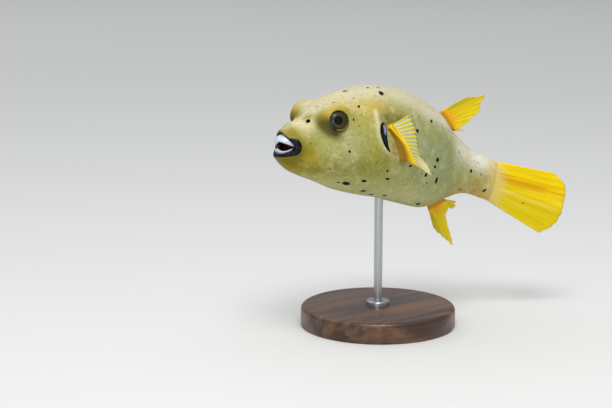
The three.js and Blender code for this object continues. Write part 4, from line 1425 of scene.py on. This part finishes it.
def paint_steel():
    paint = Paint("stand_steel")
    brushed = paint.noise(paint.stretched(300, 300, 6000))
    tone = paint.mix((168, 172, 176), (198, 200, 203), brushed)
    return paint.finish(tone, roughness=0.26 + brushed * 0.14, metallic=1.0)


# ---- build

# Draws of more spots, for the side and the parts that the placed ones leave bare: a seed, how many, where
# behind the lips, where in degrees around the body, and the largest half size.
DARK_DRAWS = (
    (11, 32, (28, 148), (-62, 48), 1.9),
    (23, 9, (45, 112), (252, 290), 1.8),
    (31, 6, (62, 108), (62, 92), 1.7))
FAINT_DRAWS = ((5, 22, (26, 140), (-55, 60), 1.1),)

skin = make_skin()
points = mesh_points(skin)
normals = mesh_normals(skin)
right = mirrored(points)[0]
dark_spots = [*DARK_SPOTS, *(spot for draw in DARK_DRAWS for spot in scattered_spots(*draw))]
faint_spots = [*FAINT_SPOTS, *(spot for draw in FAINT_DRAWS for spot in scattered_spots(*draw))]
masks = {name: tint_mask(right, blots) for name, (_, blots) in TINTS.items()}
masks["back"] = pale_back_and_top_light_mask(right, normals)
masks["rim"] = gill_rim_mask(right)
masks.update(eye_masks(points))
masks["spot_1"], masks["spot_2"] = spot_fields(points, normals, dark_spots, 2)
masks["spot_faint"] = spot_fields(points, normals, faint_spots, 1)[0]
for name, mask in masks.items():
    store(skin, name, mask)
pose_piece(skin)
finish_piece(skin, paint_skin(), "skin", "head", "trunk", "tail_stalk", "upper_lip", "lower_lip",
             "nostril_left", "nostril_right", "pectoral_root_left", "pectoral_root_right", "caudal_fin")

fin_paint, pectoral_paint, eye_paint, beak_paint = paint_fin(), paint_pectoral(), paint_eye(), paint_beak()
dorsal = flat_fin("dorsal_fin_skin", DORSAL_BASE, DORSAL_FAN, 1.6, 0.08)
anal = flat_fin("anal_fin_skin", ANAL_BASE, ANAL_FAN, 1.5, 0.18)
for piece, node in ((dorsal, "dorsal_fin"), (anal, "anal_fin")):
    pose_piece(piece)
    finish_piece(piece, fin_paint, "fins", node)
for hand, word in ((LEFT, "left"), (RIGHT, "right")):
    fin = make_pectoral(f"pectoral_skin_{word}", hand)
    pose_piece(fin)
    finish_piece(fin, pectoral_paint, "fins", f"pectoral_fin_{word}")
    eye = make_eye(f"eyeball_{word}", hand)
    store(eye, "gaze", np.stack(eye_place(mesh_points(eye)), -1))
    pose_piece(eye)
    finish_piece(eye, eye_paint, "eye", f"eye_{word}")
    for level, vertical in (("upper", 1), ("lower", -1)):
        plate = make_beak_plate(f"beak_plate_{level}_{word}", vertical, hand)
        reach = np.linalg.norm((mesh_points(plate) - BEAK_CENTRE) / BEAK_RADII, axis=-1)
        store(plate, "inner", smoothstep((0.97 - reach) / 0.04))
        pose_piece(plate)
        finish_piece(plate, beak_paint, "beak", f"beak_{level}_{word}")

steel = paint_steel()
base = [(0, 0), (BASE_RADIUS - 1.2 * FOOT_ROUNDING, 0)]
base += rounded((BASE_RADIUS - FOOT_ROUNDING, FOOT_ROUNDING), FOOT_ROUNDING, -90, 0)
base += rounded(
    (BASE_RADIUS - BASE_TOP_ROUNDING, BASE_HEIGHT - BASE_TOP_ROUNDING), BASE_TOP_ROUNDING, 0, 90)
base += [(0, BASE_HEIGHT)]
collar_top = BASE_HEIGHT + COLLAR_HEIGHT
collar = [(ROD_RADIUS, BASE_HEIGHT), (COLLAR_RADIUS, BASE_HEIGHT)]
collar += rounded((COLLAR_RADIUS - FOOT_ROUNDING, collar_top - FOOT_ROUNDING), FOOT_ROUNDING, 0, 90)
collar += [(ROD_RADIUS, collar_top), (ROD_RADIUS, BASE_HEIGHT)]
rod_foot = BASE_HEIGHT - 1
rod_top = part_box("stand_rod")[1].z / MILLIMETRE + ROD_INTO_BODY
rod = [(0, rod_foot), (ROD_RADIUS, rod_foot), (ROD_RADIUS, rod_top), (0, rod_top)]
spun("stand_base_turned", base, paint_wood(), "stand_wood", "stand_base")
spun("stand_collar_turned", collar, steel, "stand_steel", "stand_collar")
spun("stand_rod_turned", rod, steel, "stand_steel", "stand_rod", 64)

# ---- floor, light and camera

FLOOR_HALF = 14
# Soft lights: name, place, what it points at, size and power.
LIGHTS = (
    ("key", (-0.35, -0.5, 1.2), (0, 0, 0.1), 0.6, 10),
    ("fill", (-1.0, -0.9, 0.35), (0, 0, 0.1), 0.4, 2.6),
    ("ceiling", (0, 3, 5), (0, 3, 0), 9, 170))
CAMERA_LENS = 85
CAMERA_TURN = math.radians(-37.42)
CAMERA_RISE = math.radians(10.22)
CAMERA_DISTANCE = 845.85
CAMERA_SHIFT = (39.76, 26.33)

floor_grid = bmesh.new()
bmesh.ops.create_grid(floor_grid, x_segments=1, y_segments=1, size=FLOOR_HALF)
floor = piece_from(floor_grid, "floor")
floor.data.materials.append(Paint("floor").finish((226, 226, 224), roughness=0.75))

world = bpy.data.worlds.new("studio")
stage.world = world
world.use_nodes = True
sky = world.node_tree.nodes["Background"].inputs
sky["Color"].default_value = (0.86, 0.88, 0.92, 1)
sky["Strength"].default_value = 0.42
stage.view_settings.view_transform = "Standard"

for name, place, target, size, power in LIGHTS:
    light = bpy.data.lights.new(name, "AREA")
    light.size = size
    light.energy = power
    lamp = bpy.data.objects.new(name, light)
    stage.collection.objects.link(lamp)
    lamp.location = place
    lamp.rotation_euler = (Vector(target) - Vector(place)).to_track_quat("-Z", "Y").to_euler()

behind_camera = Vector((math.sin(CAMERA_TURN) * math.cos(CAMERA_RISE),
                        -math.cos(CAMERA_TURN) * math.cos(CAMERA_RISE), math.sin(CAMERA_RISE)))
camera_right = Vector((math.cos(CAMERA_TURN), math.sin(CAMERA_TURN), 0))
camera_up = behind_camera.cross(camera_right)
camera = bpy.data.objects.new("camera", bpy.data.cameras.new("camera"))
stage.collection.objects.link(camera)
camera.data.lens = CAMERA_LENS
camera.location = MILLIMETRE * (Vector(POSE_PLACE) + CAMERA_DISTANCE * behind_camera
                                - CAMERA_SHIFT[0] * camera_right - CAMERA_SHIFT[1] * camera_up)
camera.rotation_euler = behind_camera.to_track_quat("Z", "Y").to_euler()
stage.camera = camera
